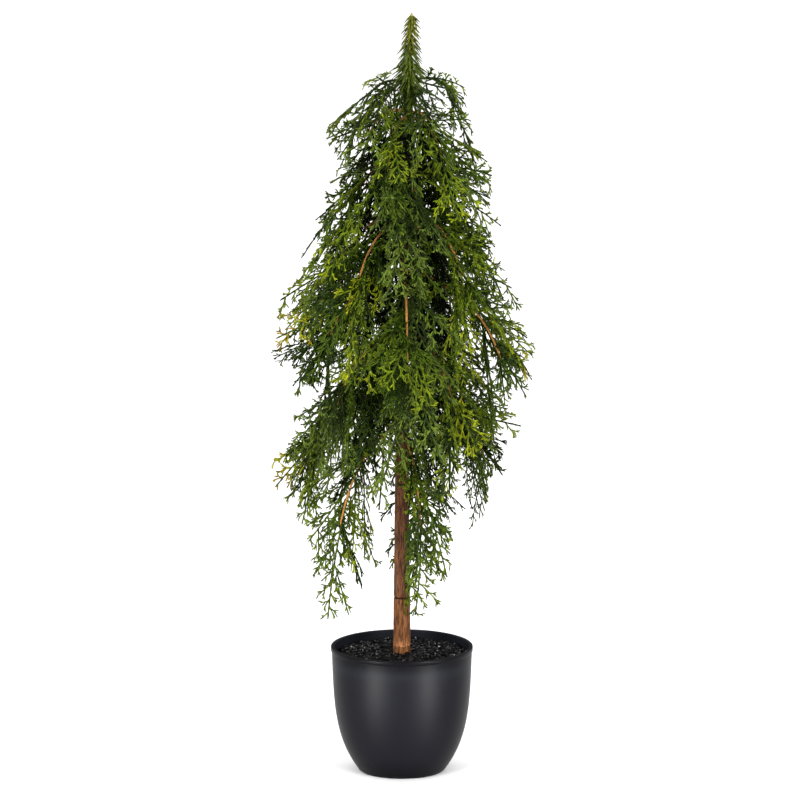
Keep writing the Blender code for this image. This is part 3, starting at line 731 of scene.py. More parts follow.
def bark_material(settings):
    """Bark-like paper: fibres along the trunk in golden and reddish brown, with dark furrows, and a painted shadow
    in the groove at the joint.
    """
    material, tree, shader = new_material("bark_paper")
    fibres = fibre_coordinates(tree, 9.0)
    broad = noise_node(tree, fibres, 380.0, 4.0, 0.6)
    fine = noise_node(tree, fibres, 900.0, 3.0, 0.6)
    patches = noise_node(tree, tree.nodes.new("ShaderNodeTexCoord").outputs["Object"], 30.0, 3.0)
    base = ramp_node(tree, broad.outputs["Fac"], (
        (0.28, settings.furrow), (0.40, darker(settings.bark, 0.70)),
        (0.54, settings.bark), (0.72, darker(settings.bark, 1.4)),
    ))
    streaks = ramp_node(tree, fine.outputs["Fac"], ((0.40, (0.30, 0.26, 0.26)), (0.54, (1.0, 1.0, 1.0))))
    streaked = mix_colours(tree, 1.0, base.outputs["Color"], streaks.outputs["Color"], "MULTIPLY")
    height = tree.nodes.new("ShaderNodeSeparateXYZ")
    tree.links.new(tree.nodes.new("ShaderNodeTexCoord").outputs["Object"], height.inputs["Vector"])
    upper = tree.nodes.new("ShaderNodeMapRange")
    upper.inputs["From Min"].default_value = TRUNK_JOINT_HEIGHT
    upper.inputs["From Max"].default_value = TRUNK_JOINT_HEIGHT + 0.004
    tree.links.new(height.outputs["Z"], upper.inputs["Value"])
    tone = mix_colours(tree, upper.outputs["Result"], (0.96, 0.87, 0.73), (0.72, 0.66, 0.70))
    toned = mix_colours(tree, 1.0, streaked, tone, "MULTIPLY")
    # Painted shade: a very dark band in the groove at the joint stands in for the shadow in it
    groove_painted_shade_place = range_node(tree, height.outputs["Z"], 0.0, 1.0, GROOVE_PAINTED_SHADE_HEIGHTS)
    joint = ramp_node(tree, groove_painted_shade_place, (
        (0.30, (1.0, 1.0, 1.0)), (0.40, (0.10, 0.08, 0.08)), (0.60, (0.10, 0.08, 0.08)),
        (0.70, (1.0, 1.0, 1.0)),
    ))
    toned = mix_colours(tree, 1.0, toned, joint.outputs["Color"], "MULTIPLY")
    worn = ramp_node(tree, patches.outputs["Fac"], ((0.35, (0.78, 0.78, 0.78)), (0.65, (1.1, 1.1, 1.1))))
    tree.links.new(
        mix_colours(tree, 1.0, toned, worn.outputs["Color"], "MULTIPLY"), shader.inputs["Base Color"]
    )
    tree.links.new(range_node(tree, fine.outputs["Fac"], 0.62, 0.85), shader.inputs["Roughness"])
    shader.inputs["Specular IOR Level"].default_value = 0.15
    bump_into(tree, shader, fine.outputs["Fac"], 0.7, 0.0006)
    return material


def wrap_material(settings):
    """Crinkled paper tape in tan and orange brown."""
    material, tree, shader = new_material("wire_paper")
    place = tree.nodes.new("ShaderNodeTexCoord").outputs["Object"]
    patch = noise_node(tree, place, 45.0, 3.0)
    grain = noise_node(tree, place, 1100.0, 3.0)
    base = ramp_node(tree, patch.outputs["Fac"], (
        (0.32, darker(settings.wrap, 0.35)), (0.46, settings.wrap), (0.66, darker(settings.wrap, 1.3)),
    ))
    crinkle = ramp_node(tree, grain.outputs["Fac"], ((0.35, (0.6, 0.58, 0.56)), (0.6, (1.0, 1.0, 1.0))))
    tree.links.new(
        mix_colours(tree, 1.0, base.outputs["Color"], crinkle.outputs["Color"], "MULTIPLY"),
        shader.inputs["Base Color"],
    )
    shader.inputs["Roughness"].default_value = 0.72
    shader.inputs["Specular IOR Level"].default_value = 0.15
    bump_into(tree, shader, grain.outputs["Fac"], 0.6, 0.0004)
    return material


# Pot and grit

def pot_radius(height):
    """Outside radius of the pot wall: a straight taper with a belly that draws in to the foot."""
    below = 1.0 - height / POT_HIGH.z
    belly = POT_RIM_RADIUS - POT_FOOT_RADIUS - POT_TAPER
    return POT_RIM_RADIUS - POT_TAPER * below - belly * below**POT_BELLY_POWER


def round_edge(radius, height, size, start, steps):
    """Points of a quarter round of the given size, from start degrees on, as (0, height, radius)."""
    points = []
    for step in range(steps + 1):
        angle = math.radians(start + 90.0 * step / steps)
        points.append((0.0, height + size * math.sin(angle), radius + size * math.cos(angle)))
    return points


class CYPRESS_OT_pot(Operator):
    """Turns the round pot, with its belly, the bead round its rim and its inner wall."""

    bl_idname = "cypress.pot"
    bl_label = "Pot"

    def execute(self, context):
        settings = context.scene.cypress_pot
        top = settings.height
        wall = settings.rim_radius
        bead_foot = top - POT_BEAD_HEIGHT
        edge = 0.0008
        rings = [(0.0, 0.0, pot_radius(0.0) - edge), (0.0, 0.0003, pot_radius(0.0) - 0.0002)]
        steps = 40
        for step in range(1, steps + 1):
            height = 0.0008 + (bead_foot - 0.0008) * (step / steps) ** 1.4
            rings.append((0.0, height, pot_radius(height)))
        proud = wall + POT_BEAD_PROUD
        rings.append((0.0, bead_foot + 0.0002, proud - 0.0002))
        rings.append((0.0, bead_foot + 0.0006, proud))
        rings.extend(round_edge(proud - edge, top - edge, edge, 0.0, 4))
        inner = wall - POT_WALL
        rings.extend(round_edge(inner + edge, top - edge, edge, 90.0, 4))
        steps = 8
        for step in range(1, steps + 1):
            height = (top - edge) + (POT_INSIDE - top + edge) * step / steps
            rings.append((0.0, height, pot_radius(height) - POT_WALL))
        obj = drawn_through(rings, settings.sides)
        bpy.ops.object.shade_smooth_by_angle(angle=math.radians(50.0))
        finished(obj, "pot_body", pot_material(settings))
        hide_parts("pot")
        return {"FINISHED"}


def grit_height(radius):
    """Height of the filling's surface, heaped a little towards the trunk."""
    share = min(radius / 0.060, 1.0)
    return GRIT_HIGH.z - 0.0014 * share**2.2


def crumb(rule, template):
    """Corners of one crumb: a rounded lump, stretched, dented and turned by chance."""
    stretch = np.array([rule.uniform(0.6, 1.9), rule.uniform(0.6, 1.3), rule.uniform(0.5, 1.0)])
    dents = 1.0 + np.array([rule.uniform(-0.3, 0.3) for _ in template])
    turn = np.array(Matrix.Rotation(rule.uniform(0, math.tau), 3, Vector(
        (rule.uniform(-0.5, 0.5), rule.uniform(-0.5, 0.5), 1.0))))
    return (template * dents[:, None] * stretch) @ turn.T


class CYPRESS_OT_grit(Operator):
    """Heaps glossy black crumbs on the filling of the pot."""

    bl_idname = "cypress.grit"
    bl_label = "Grit"

    def execute(self, context):
        settings = context.scene.cypress_pot
        rule = random.Random(21)
        material = grit_material(settings)
        inside = pot_radius(GRIT_HIGH.z) - POT_WALL
        rings = [(0.0, POT_INSIDE + 0.0004, inside - 0.0012), (0.0, 0.1040, inside - 0.0006)]
        for share in (0.96, 0.9, 0.8, 0.65, 0.5, 0.35, 0.2, 0.05):
            rings.append((0.0, grit_height(0.060 * share) - 0.0008, 0.060 * share))
        bed = drawn_through(rings, 72)
        bpy.ops.object.shade_smooth_by_angle(angle=math.radians(60.0))
        finished(bed, "grit_bed", material)
        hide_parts("potting_grit")
        deselect_all()
        bpy.ops.mesh.primitive_ico_sphere_add(subdivisions=1, radius=1.0)
        pebble = bpy.context.object
        template = np.array([vertex.co[:] for vertex in pebble.data.vertices])
        faces = np.array([face.vertices[:] for face in pebble.data.polygons])
        bpy.data.objects.remove(pebble)
        points = []
        corners = []
        for number in range(settings.crumbs):
            radius = 0.0595 * math.sqrt(rule.random())
            size = settings.crumb_radius * rule.uniform(0.55, 1.35)
            radius = min(radius, 0.0602 - size)
            turn = rule.uniform(0.0, math.tau)
            lift = size * rule.uniform(-0.5, 0.6) + 0.0009 * noise.noise(
                Vector((radius * math.cos(turn), radius * math.sin(turn), 0.0)) * 90.0)
            middle = np.array([radius * math.cos(turn), radius * math.sin(turn),
                               grit_height(radius) + lift])
            points.append(crumb(rule, template) * size + middle)
            corners.append(faces + number * len(template))
        crumbs = mesh_from_arrays("crumbs", np.concatenate(points), np.zeros((0, 4), int),
                                  np.concatenate(corners))
        crumbs.data.set_sharp_from_angle(angle=math.radians(40.0))
        finished(crumbs, "grit_crumbs", material)
        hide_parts("potting_grit")
        return {"FINISHED"}


# Trunk

def trunk_centre(height):
    """The trunk stands straight and leans a little to the right near its top."""
    above = max(height - TRUNK_LEAN_START, 0.0) / (OVERALL_HEIGHT - TRUNK_LEAN_START)
    return Vector((TRUNK_LEAN * above * above, 0.0, height))


def trunk_radius(height):
    if height <= TRUNK_JOINT_HEIGHT:
        share = (height - GRIT_HIGH.z) / (TRUNK_JOINT_HEIGHT - GRIT_HIGH.z)
        return TRUNK_FOOT_RADIUS + (TRUNK_JOINT_RADIUS - TRUNK_FOOT_RADIUS) * share
    share = (height - TRUNK_JOINT_HEIGHT) / (TRUNK_TOP - TRUNK_JOINT_HEIGHT)
    return TRUNK_JOINT_RADIUS + (TRUNK_TOP_RADIUS - TRUNK_JOINT_RADIUS) * min(share, 1.0)


def subdivide_upright(obj, low, high, cuts):
    """Cuts the upright edges between two heights, in edit mode, as loop cuts would."""
    bpy.ops.mesh.select_mode(type="EDGE")
    bm = bmesh.from_edit_mesh(obj.data)
    for edge in bm.edges:
        bottom, top = sorted(vertex.co.z for vertex in edge.verts)
        edge.select_set(low - 1e-6 <= bottom and top <= high + 1e-6 and top - bottom > 0.001)
    bmesh.update_edit_mesh(obj.data)
    bpy.ops.mesh.subdivide(number_cuts=cuts)


class CYPRESS_OT_trunk(Operator):
    """Draws the trunk up from its foot to the needled tip and roughens it with the bark's relief."""

    bl_idname = "cypress.trunk"
    bl_label = "Trunk"

    def execute(self, context):
        settings = context.scene.cypress_trunk
        joint = TRUNK_JOINT_HEIGHT
        levels = [(TRUNK_LOW.z, 0.0), (joint - GROOVE_HALF_WIDTH, 0.0), (joint - 0.0003, GROOVE_DEPTH),
                  (joint + 0.0003, GROOVE_DEPTH), (joint + GROOVE_HALF_WIDTH, 0.0)]
        levels += [(height, 0.0) for height in (0.30, 0.36, 0.42, 0.48, 0.54, 0.60, TRUNK_TOP)]
        rings = [(trunk_centre(z).x, z, trunk_radius(z) - cut) for z, cut in levels]
        obj = drawn_through(rings, settings.sides)
        bpy.ops.object.mode_set(mode="EDIT")
        subdivide_upright(obj, 0.0, joint - GROOVE_HALF_WIDTH, 56)
        subdivide_upright(obj, joint + GROOVE_HALF_WIDTH, 0.30, 150)
        subdivide_upright(obj, 0.30, TRUNK_TOP, 30)
        bpy.ops.object.mode_set(mode="OBJECT")
        self.roughen(obj, settings.relief)
        bpy.ops.object.shade_smooth()
        finished(obj, "trunk_bark", bark_material(settings))
        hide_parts("trunk")
        return {"FINISHED"}

    def roughen(self, obj, relief):
        """Moves each point in or out by fibres that run up the trunk."""
        for vertex in obj.data.vertices:
            centre = trunk_centre(vertex.co.z)
            outward = vertex.co - centre
            if outward.length < 1e-5:
                continue
            outward.normalize()
            place = Vector((outward.x * 3.4, outward.y * 3.4, vertex.co.z * 75.0))
            wide = noise.noise(place)
            fine = noise.noise(Vector((outward.x * 9.0, outward.y * 9.0, vertex.co.z * 210.0)))
            furrow = -abs(wide) + 0.25
            vertex.co += outward * relief * (furrow * 1.2 + fine * 0.5)


# Limbs and the rule that places the sprays, as in the solids

def outline(height):
    """Radius of the crown at a height, and where its middle lies. Outside the crown the radius is 0."""
    for (low, low_radius, low_middle), (high, high_radius, high_middle) in zip(OUTLINE, OUTLINE[1:]):
        if low <= height <= high:
            share = (height - low) / (high - low)
            radius = low_radius + (high_radius - low_radius) * share
            return radius, low_middle + (high_middle - low_middle) * share
    return 0.0, 0.0


class Limb:
    """One weeping branch: a curve from the trunk over a shoulder to the hanging tip of its mass."""

    def __init__(self, number, tier, turn, longer, shift):
        self.number = number
        self.bare = tier.bare
        self.sprays = tier.sprays
        self.outward = Vector((math.cos(turn), math.sin(turn), 0.0))
        self.across = Vector((-math.sin(turn), math.cos(turn), 0.0))
        height = tier.height + shift
        reach = tier.reach * longer
        fall = tier.height - tier.tip_height
        centre = trunk_centre(height)
        start = centre + self.outward * (trunk_radius(height) + GAP)
        shoulder = centre + self.outward * (reach * SHOULDER) - UP * (fall * tier.droop)
        tip = centre + self.outward * reach - UP * fall
        self.bend = (start, shoulder, tip)

    def at(self, share):
        start, shoulder, tip = self.bend
        rest = 1.0 - share
        return start * rest**2 + shoulder * (2.0 * rest * share) + tip * share**2

    def heading(self, share):
        start, shoulder, tip = self.bend
        return ((shoulder - start) * (1.0 - share) + (tip - shoulder) * share).normalized()

    def limb_radius(self, share):
        return LIMB_ROOT_RADIUS + (LIMB_TIP_RADIUS - LIMB_ROOT_RADIUS) * share / self.bare

    def stem_share(self, along):
        """The place on the line at a share of the mass's stem, which starts where the bare limb ends."""
        return self.bare + (1.0 - self.bare) * STEM_SHARE * along


def all_limbs():
    """The limbs of every tier, spread evenly round the trunk and then shifted a little by a seeded rule."""
    rule = random.Random(TIER_SEED)
    limbs = []
    for tier in TIERS:
        for place in range(tier.limbs):
            turn = tier.first_turn + 360.0 * place / tier.limbs + rule.uniform(-TURN_JITTER, TURN_JITTER)
            shift = rule.uniform(-HEIGHT_JITTER, HEIGHT_JITTER)
            longer = 1.0 + rule.uniform(-REACH_JITTER, REACH_JITTER)
            limbs.append(Limb(len(limbs) + 1, tier, math.radians(turn), longer, shift))
    return limbs


class Crown:
    """Which mass each point of the crown belongs to, and how far the nearest limb is."""

    def __init__(self, limbs):
        steps = [step / SKELETON_STEPS for step in range(SKELETON_STEPS + 1)]
        shoot = [trunk_centre(TRUNK_TOP + (OVERALL_HEIGHT - TRUNK_TOP) * step) for step in steps]
        self.skeletons = {SHOOT_OWNER: self.tree(shoot)}
        points = []
        self.radii = []
        for limb in limbs:
            line = [limb.at(limb.bare + (1.0 - limb.bare) * step) for step in steps]
            self.skeletons[limb.number] = self.tree(line)
            if limb.bare:
                points.extend(limb.at(limb.bare * step) for step in steps)
                self.radii.extend(limb.limb_radius(limb.bare * step) for step in steps)
        self.wood = self.tree(points)

    @staticmethod
    def tree(points):
        made = kdtree.KDTree(len(points))
        for index, point in enumerate(points):
            made.insert(point, index)
        made.balance()
        return made

    def holds(self, owner, point):
        """True where the point lies in the outline and the owner's share, and off the trunk and limbs."""
        radius, middle = outline(point.z)
        if math.hypot(point.x - middle, point.y) > radius:
            return False
        own = self.skeletons[owner].find(point)[2]
        for other, tree in self.skeletons.items():
            if other != owner and tree.find(point)[2] < own + 2.0 * SHARE_MARGIN:
                return False
        if (point - trunk_centre(point.z)).length < trunk_radius(point.z) + LIMB_CLEARANCE:
            return False
        _, index, distance = self.wood.find(point)
        return distance > self.radii[index] + LIMB_CLEARANCE


class Spray:
    """Where one flat spray starts on its mass's stem, and its directions."""

    def __init__(self, root, heading, across, length):
        self.root = root
        self.heading = heading
        self.across = across
        self.normal = heading.cross(across).normalized()
        self.length = length

    def at(self, share):
        sag = UP * (SPRAY_SAG * self.length * share * share)
        return self.root + self.heading * (self.length * share) - sag


def spray_plan(limb, crown, spare):
    """The sprays of one mass, from its limb to its tip: at each place, the trial with the most room.

    The spare ones follow at places between the others.
    """
    rule = random.Random(SPRAY_SEED + limb.number)
    first_turn = rule.uniform(0.0, 360.0)
    sprays = []
    for place in range(limb.sprays + spare):
        if place < limb.sprays:
            along = place / (limb.sprays - 1)
        else:
            along = (place - limb.sprays + 0.5) / spare
        turn = first_turn + GOLDEN_TURN * place
        trials = [spray_trial(limb, along, turn, rule) for _ in range(SPRAY_TRIALS)]
        scores = [spray_room(trial, limb.number, crown, sprays) for trial in trials]
        sprays.append(trials[scores.index(max(scores))])
    return sprays


def spray_trial(limb, along, turn, rule):
    """A spray that leaves the stem forwards, about the given turn round it. The last run on straighter."""
    share = limb.stem_share(SPRAY_FIRST + (1.0 - 2.0 * SPRAY_FIRST) * along)
    forward = limb.heading(share)
    outside = forward.cross(limb.across)
    angle = math.radians(turn + rule.uniform(-TURN_TRIAL, TURN_TRIAL))
    spread = math.radians(rule.uniform(*SPRAY_SPREAD)) * (1.0 - STRAIGHTER * along)
    aside = limb.across * math.cos(angle) + outside * math.sin(angle)
    heading = (forward * math.cos(spread) + aside * math.sin(spread)).normalized()
    level = heading.cross(limb.outward)
    level = level.normalized() if level.length > STEEPEST else limb.across.copy()
    roll = Matrix.Rotation(math.radians(rule.uniform(-SPRAY_ROLL, SPRAY_ROLL)), 3, heading)
    length = SPRAY_LENGTH * (1.0 + rule.uniform(-SPRAY_VARIATION, SPRAY_VARIATION))
    for _ in range(TEETH):
        rule.uniform(-TOOTH_VARIATION, TOOTH_VARIATION)
    return Spray(limb.at(share), heading, roll @ level, length)


def spray_room(trial, owner, crown, others):
    """How much room a trial has: the nodes and teeth that fit, less where it lies close to the others."""
    room = 0.0
    for node in range(1, TEETH + 1):
        share = node / TEETH
        centre = trial.at(share)
        if not crown.holds(owner, centre):
            break
        room += 1.0
        for side in (1.0, -1.0):
            aside = trial.across * (side * trial.length * tooth_length(share) / 2.0)
            if crown.holds(owner, centre + aside):
                room += TOOTH_ROOM
    for other in others:
        for share in COMPARED_AT:
            apart = (trial.at(share) - other.at(share)).length
            room *= min(1.0, CROWDED + (1.0 - CROWDED) * apart / SPRAY_DISTANCE)
    return room


def filler_sprays(limb, filler, rule):
    """Sprays rooted on the wire close to the trunk, by one of the rules above."""
    sprays = []
    for place in range(filler.count):
        spread = filler.turn * (2.0 * (place + 0.5) / filler.count - 1.0)
        turn = math.radians(spread + rule.uniform(-TURN_LOOSE, TURN_LOOSE))
        outward = Matrix.Rotation(turn, 3, "Z") @ limb.outward
        fall = math.radians(rule.uniform(*filler.fall))
        heading = outward * math.cos(fall) - UP * math.sin(fall)
        roll = Matrix.Rotation(math.radians(rule.uniform(-filler.roll, filler.roll)), 3, heading)
        across = roll @ UP.cross(outward)
        sprays.append(Spray(limb.at(rule.uniform(*filler.share)), heading, across,
                            rule.uniform(*filler.length)))
    return sprays


def accent_spray(limb, accent):
    """A spray from its limb to the place of its tip, facing the front but for its roll."""
    root = limb.at(accent.share)
    length = (Vector(accent.tip) - root).length
    heading = (Vector(accent.tip) + UP * (SPRAY_SAG * length) - root).normalized()
    roll = Matrix.Rotation(math.radians(accent.roll), 3, heading)
    return Spray(root, heading, roll @ heading.cross(FRONT).normalized(), length)


def tooth_length(share):
    """Length of a side tooth as a share of the spray: longest near the root, short at the tip."""
    return TOOTH_SHARE * (1.0 - share) ** TOOTH_TAPER * min(1.0, TOOTH_AT_ROOT + TOOTH_GROWTH * share)


# Wires

class CYPRESS_OT_wires(Operator):
    """Bends the paper-wrapped wires from the trunk to where the last spray hangs."""

    bl_idname = "cypress.wires"
    bl_label = "Wires"

    def execute(self, context):
        limbs = all_limbs()
        wires = self.joined("wrapped_wires", [limb for limb in limbs if limb.bare])
        finished(wires, "wrapped_wires", wrap_material(context.scene.cypress_trunk))
        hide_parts(*BOUGH_NODES)
        stems = self.joined("top_stems", [limb for limb in limbs if not limb.bare])
        green = leaf_material("top_stem_green", context.scene.cypress_sprays.dark)
        finished(stems, "top_stems", green)
        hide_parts(*FOLIAGE_NODES)
        return {"FINISHED"}

    def joined(self, name, limbs):
        """The wires of some limbs as one mesh."""
        points = []
        quads = []
        count = 0
        for limb in limbs:
            made, corners = self.wire(limb)
            points.append(made)
            quads.append(corners + count)
            count += len(made)
        return mesh_from_arrays(name, np.concatenate(points), np.concatenate(quads),
                                np.zeros((0, 3), int))

    def wire(self, limb):
        """Points and faces of one wire, whose paper winds round it with a step at each turn."""
        end = limb.stem_share(1.0)
        rough = [limb.at(end * step / 40) for step in range(41)]
        length = sum((b - a).length for a, b in zip(rough, rough[1:]))
        steps = int(length / WIRE_STEP)
        shares = np.linspace(0.0, 1.0, steps + 1)
        centres = np.array([limb.at(end * share) for share in shares])
        centres[0] -= np.array(limb.outward) * 0.0015
        headings = unit_rows(np.gradient(centres, axis=0))
        across = unit_rows(np.tile(np.array(limb.across), (len(centres), 1)))
        other = np.cross(headings, across)
        radii = np.interp(shares, (0.0, 0.5, 1.0), WIRE_RADII)
        turns = np.arange(WIRE_SIDES) / WIRE_SIDES
        wound = (turns[None, :] + (shares * length / WRAP_PITCH)[:, None]) % 1.0
        bulge = radii[:, None] * (1.0 + WRAP_RELIEF * (wound - 0.5))
        bulge[-1] *= 0.3
        angle = turns * math.tau
        ring = (across[:, None, :] * np.cos(angle)[None, :, None]
                + other[:, None, :] * np.sin(angle)[None, :, None])
        points = (centres[:, None, :] + ring * bulge[:, :, None]).reshape(-1, 3)
        return points, tube_faces(len(centres), WIRE_SIDES)


def tube_faces(rings, sides):
    """Quads of a tube whose points run ring by ring."""
    first = np.arange(rings - 1)[:, None] * sides
    side = np.arange(sides)[None, :]
    following = (side + 1) % sides
    quads = np.stack([first + side, first + following, first + sides + following, first + sides + side],
                     axis=-1)
    return quads.reshape(-1, 4)


# Sprays

class Frond:
    """All twigs of one spray: lines in its own plane, with their order, and how near the tip they are."""

    def __init__(self, length, rule, open_by):
        self.length = length
        self.rule = rule
        self.open_by = open_by
        self.lines = []
        self.orders = []
        self.tipness = []
        self.parents = []
        stem = self.line((0.0, 0.0, 0.0), 0.0, rule.uniform(-STEM_BEND, STEM_BEND), length, STEM_TILT)
        self.add(stem, 0, 0.0, (0, 0))
        side = rule.choice((1.0, -1.0))
        reach = BRANCH_FIRST
        minors = rule.randrange(MAJOR_EVERY)
        while reach < length - BRANCH_LAST:
            share = reach / length
            branch = length * self.branch_share(share) * self.uneven(UNEVEN_LENGTH)
            if minors:
                branch *= MINOR_SHARE
            minors = minors - 1 if minors else MAJOR_EVERY - 1
            self.grow_branch(self.place_on(0, share), side, branch, share)
            reach += BRANCH_STEP * open_by * self.uneven(UNEVEN_STEP)
            side = -side

    def uneven(self, spread):
        return 1.0 + self.rule.uniform(-spread, spread)

    @staticmethod
    def branch_share(share):
        """Length of a branch as a share of the spray: longest near the root, short at the tip."""
        young = min(1.0, BRANCH_AT_ROOT + TOOTH_GROWTH * share)
        return BRANCH_SHARE * (1.0 - share) ** BRANCH_TAPER * young

    def line(self, start, angle, bend, length, tilt):
        """Points of a twig, a ring step apart: along, across and off the plane. Angles are in degrees."""
        steps = max(1, round(length / RING_STEP))
        stride = length / steps
        lift = self.rule.uniform(-tilt, tilt) * stride
        along, across, off = start
        points = [start]
        for step in range(steps):
            turn = math.radians(angle - bend * (step + 0.5) / steps)
            along += stride * math.cos(turn)
            across += stride * math.sin(turn)
            off += lift
            points.append((along, across, off))
        return points

    def add(self, line, order, tipness, parent):
        """Keeps a twig, and which one it grows from, at which of its points."""
        self.lines.append(line)
        self.orders.append(order)
        self.tipness.append(tipness)
        self.parents.append(parent)

    def place_on(self, number, share):
        """The place at a share of a twig: the twig's number and the number of its point there."""
        last = len(self.lines[number]) - 1
        return number, max(0, min(last - 1, round(share * last)))

    def point(self, place):
        number, at = place
        return self.lines[number][at]

    def grow_branch(self, root, side, length, share):
        angle = side * (BRANCH_ANGLE + self.rule.uniform(-UNEVEN_ANGLE, UNEVEN_ANGLE))
        bend = side * self.rule.uniform(*BRANCH_BEND)
        branch = self.line(self.point(root), angle, bend, length, BRANCH_TILT)
        self.add(branch, 1, share * 0.8, root)
        number = len(self.lines) - 1
        twig_side = side
        reach = TWIG_FIRST
        while reach < length - 0.002:
            place = reach / length
            profile = min(1.0, 0.55 + place) * (1.0 - place) ** 0.55
            twig = TWIG_LENGTH * profile * self.uneven(UNEVEN_LENGTH) * min(1.0, 0.45 + length / 0.045)
            tipness = min(1.0, share * 0.62 + place * 0.42)
            root = self.place_on(number, place)
            self.grow_twig(root, angle - bend * place, twig_side, twig, tipness)
            reach += TWIG_STEP * self.open_by * self.uneven(UNEVEN_STEP)
            twig_side = -twig_side

    def grow_twig(self, root, heading, side, length, tipness):
        angle = heading + side * (TWIG_ANGLE + self.rule.uniform(-UNEVEN_ANGLE, UNEVEN_ANGLE))
        bend = side * self.rule.uniform(*TWIG_BEND)
        self.add(self.line(self.point(root), angle, bend, length, TWIG_TILT), 2, tipness, root)
        if length < TIPLET_FROM:
            return
        number = len(self.lines) - 1
        for place in TIPLET_PLACES:
            side = -side
            root = self.place_on(number, place)
            length = TIPLET_LENGTH * self.uneven(UNEVEN_LENGTH)
            tiplet = self.line(self.point(root), angle + side * TWIG_ANGLE, side * 10.0, length, TWIG_TILT)
            self.add(tiplet, 3, min(1.0, tipness + 0.06), root)


def in_space(spray, points):
    """Points of a spray's plane as points of the row's space, sagging along and to the sides."""
    along, across, off = points.T
    sag = SPRAY_SAG * along**2 / spray.length + SIDE_DROP * across**2
    placed = (np.array(spray.root) + np.outer(along, spray.heading) + np.outer(across, spray.across)
              + np.outer(off, spray.normal))
    placed[:, 2] -= sag
    return placed


def within_reach(points, ragged):
    """True for the points inside the crown's outline, moved out by ragged, and clear of the trunk.

    Low down, the trunk stays bare in front, and the sprays leave a gap to the left of it.
    """
    x, y, z = points.T
    left = np.interp(z, REACH_HEIGHTS, REACH_LEFT, left=1.0, right=1.0)
    right = np.interp(z, REACH_HEIGHTS, REACH_RIGHT, left=-1.0, right=-1.0)
    inside = np.hypot(x - (left + right) / 2.0, y) < (right - left) / 2.0 + ragged
    above = np.maximum(z - TRUNK_LEAN_START, 0.0) / (OVERALL_HEIGHT - TRUNK_LEAN_START)
    share = np.clip((z - TRUNK_JOINT_HEIGHT) / (TRUNK_TOP - TRUNK_JOINT_HEIGHT), 0.0, 1.0)
    wood = TRUNK_JOINT_RADIUS + (TRUNK_TOP_RADIUS - TRUNK_JOINT_RADIUS) * share
    clear = np.hypot(x - TRUNK_LEAN * above**2, y) > wood + TRUNK_CLEARANCE
    left, right = BARE_TRUNK_SIDES
    low = z + VIEW_SLOPE * y < BARE_TRUNK_BELOW
    before_trunk = low & (x > left) & (x < right) & (y < 0.0)
    left, right = LOW_GAP_SIDES
    low_gap = (z < LOW_GAP_BELOW) & (x > left) & (x < right)
    return inside & clear & ~before_trunk & ~low_gap


class TwigStack:
    """Twigs of one shade, gathered to be built as one mesh."""

    def __init__(self):
        self.centres = []
        self.normals = []
        self.widths = []
        self.counts = []

    def add(self, centres, normal, order):
        root, tip = HALF_WIDTHS[order]
        self.centres.append(centres)
        self.normals.append(np.tile(normal, (len(centres), 1)))
        self.widths.append(np.linspace(root, tip, len(centres)))
        self.counts.append(len(centres))

    def parts(self, most):
        """The same twigs as stacks of no more than the given number of triangles."""
        parts = [TwigStack()]
        load = 0
        for twig in zip(self.centres, self.normals, self.widths, self.counts):
            triangles = 8 * (twig[3] - 1) + 6
            if load + triangles > most:
                parts.append(TwigStack())
                load = 0
            load += triangles
            for held, value in zip(parts[-1].lists(), twig):
                held.append(value)
        return parts

    def lists(self):
        return self.centres, self.normals, self.widths, self.counts

    def triangles(self):
        return sum(8 * (count - 1) + 6 for count in self.counts)

    def build(self, name):
        """Four-sided twigs: their rings are wide and thick by turns, as scale leaves in pairs are."""
        counts = np.array(self.counts)
        ends = np.cumsum(counts)
        starts = ends - counts
        centres = np.concatenate(self.centres)
        total = len(centres)
        is_last = np.zeros(total, bool)
        is_last[ends - 1] = True
        is_first = np.zeros(total, bool)
        is_first[starts] = True
        index = np.arange(total)
        following = np.where(is_last, index, index + 1)
        before = np.where(is_first, index, index - 1)
        along = unit_rows(centres[following] - centres[before])
        side = unit_rows(np.cross(np.concatenate(self.normals), along))
        other = np.cross(along, side)
        order = index - np.repeat(starts, counts)
        widths = np.concatenate(self.widths)
        wide = np.where(order % 2 == 1, 1.0, SCALE_NARROW)
        thick = np.where(order % 2 == 1, SCALE_NARROW, 1.0) * TWIG_FLATNESS
        across = side * (widths * wide)[:, None]
        up = other * (widths * thick)[:, None]
        ring = np.stack([centres + across, centres + up, centres - across, centres - up], axis=1)
        tips = centres[ends - 1] + along[ends - 1] * (widths[ends - 1] * 0.9)[:, None]
        points = np.concatenate([ring.reshape(-1, 3), tips])
        lower = index[~is_last]
        corner = np.arange(4)
        turned = (corner + 1) % 4
        walls = np.stack([
            lower[:, None] * 4 + corner, lower[:, None] * 4 + turned,
            (lower[:, None] + 1) * 4 + turned, (lower[:, None] + 1) * 4 + corner,
        ], axis=-1).reshape(-1, 4)
        roots = (starts[:, None] * 4 + np.array([3, 2, 1, 0]))
        tip_index = total * 4 + np.arange(len(counts))
        caps = np.stack([
            (ends[:, None] - 1) * 4 + corner, (ends[:, None] - 1) * 4 + turned,
            np.broadcast_to(tip_index[:, None], (len(counts), 4)),
        ], axis=-1).reshape(-1, 3)
        return mesh_from_arrays(name, points, np.concatenate([walls, roots]), caps)


def shade_of(ladder, tipness):
    """The shade on a ladder at a nearness to the tip, 0 to 1."""
    return ladder[min(len(ladder) - 1, int(tipness * len(ladder)))]


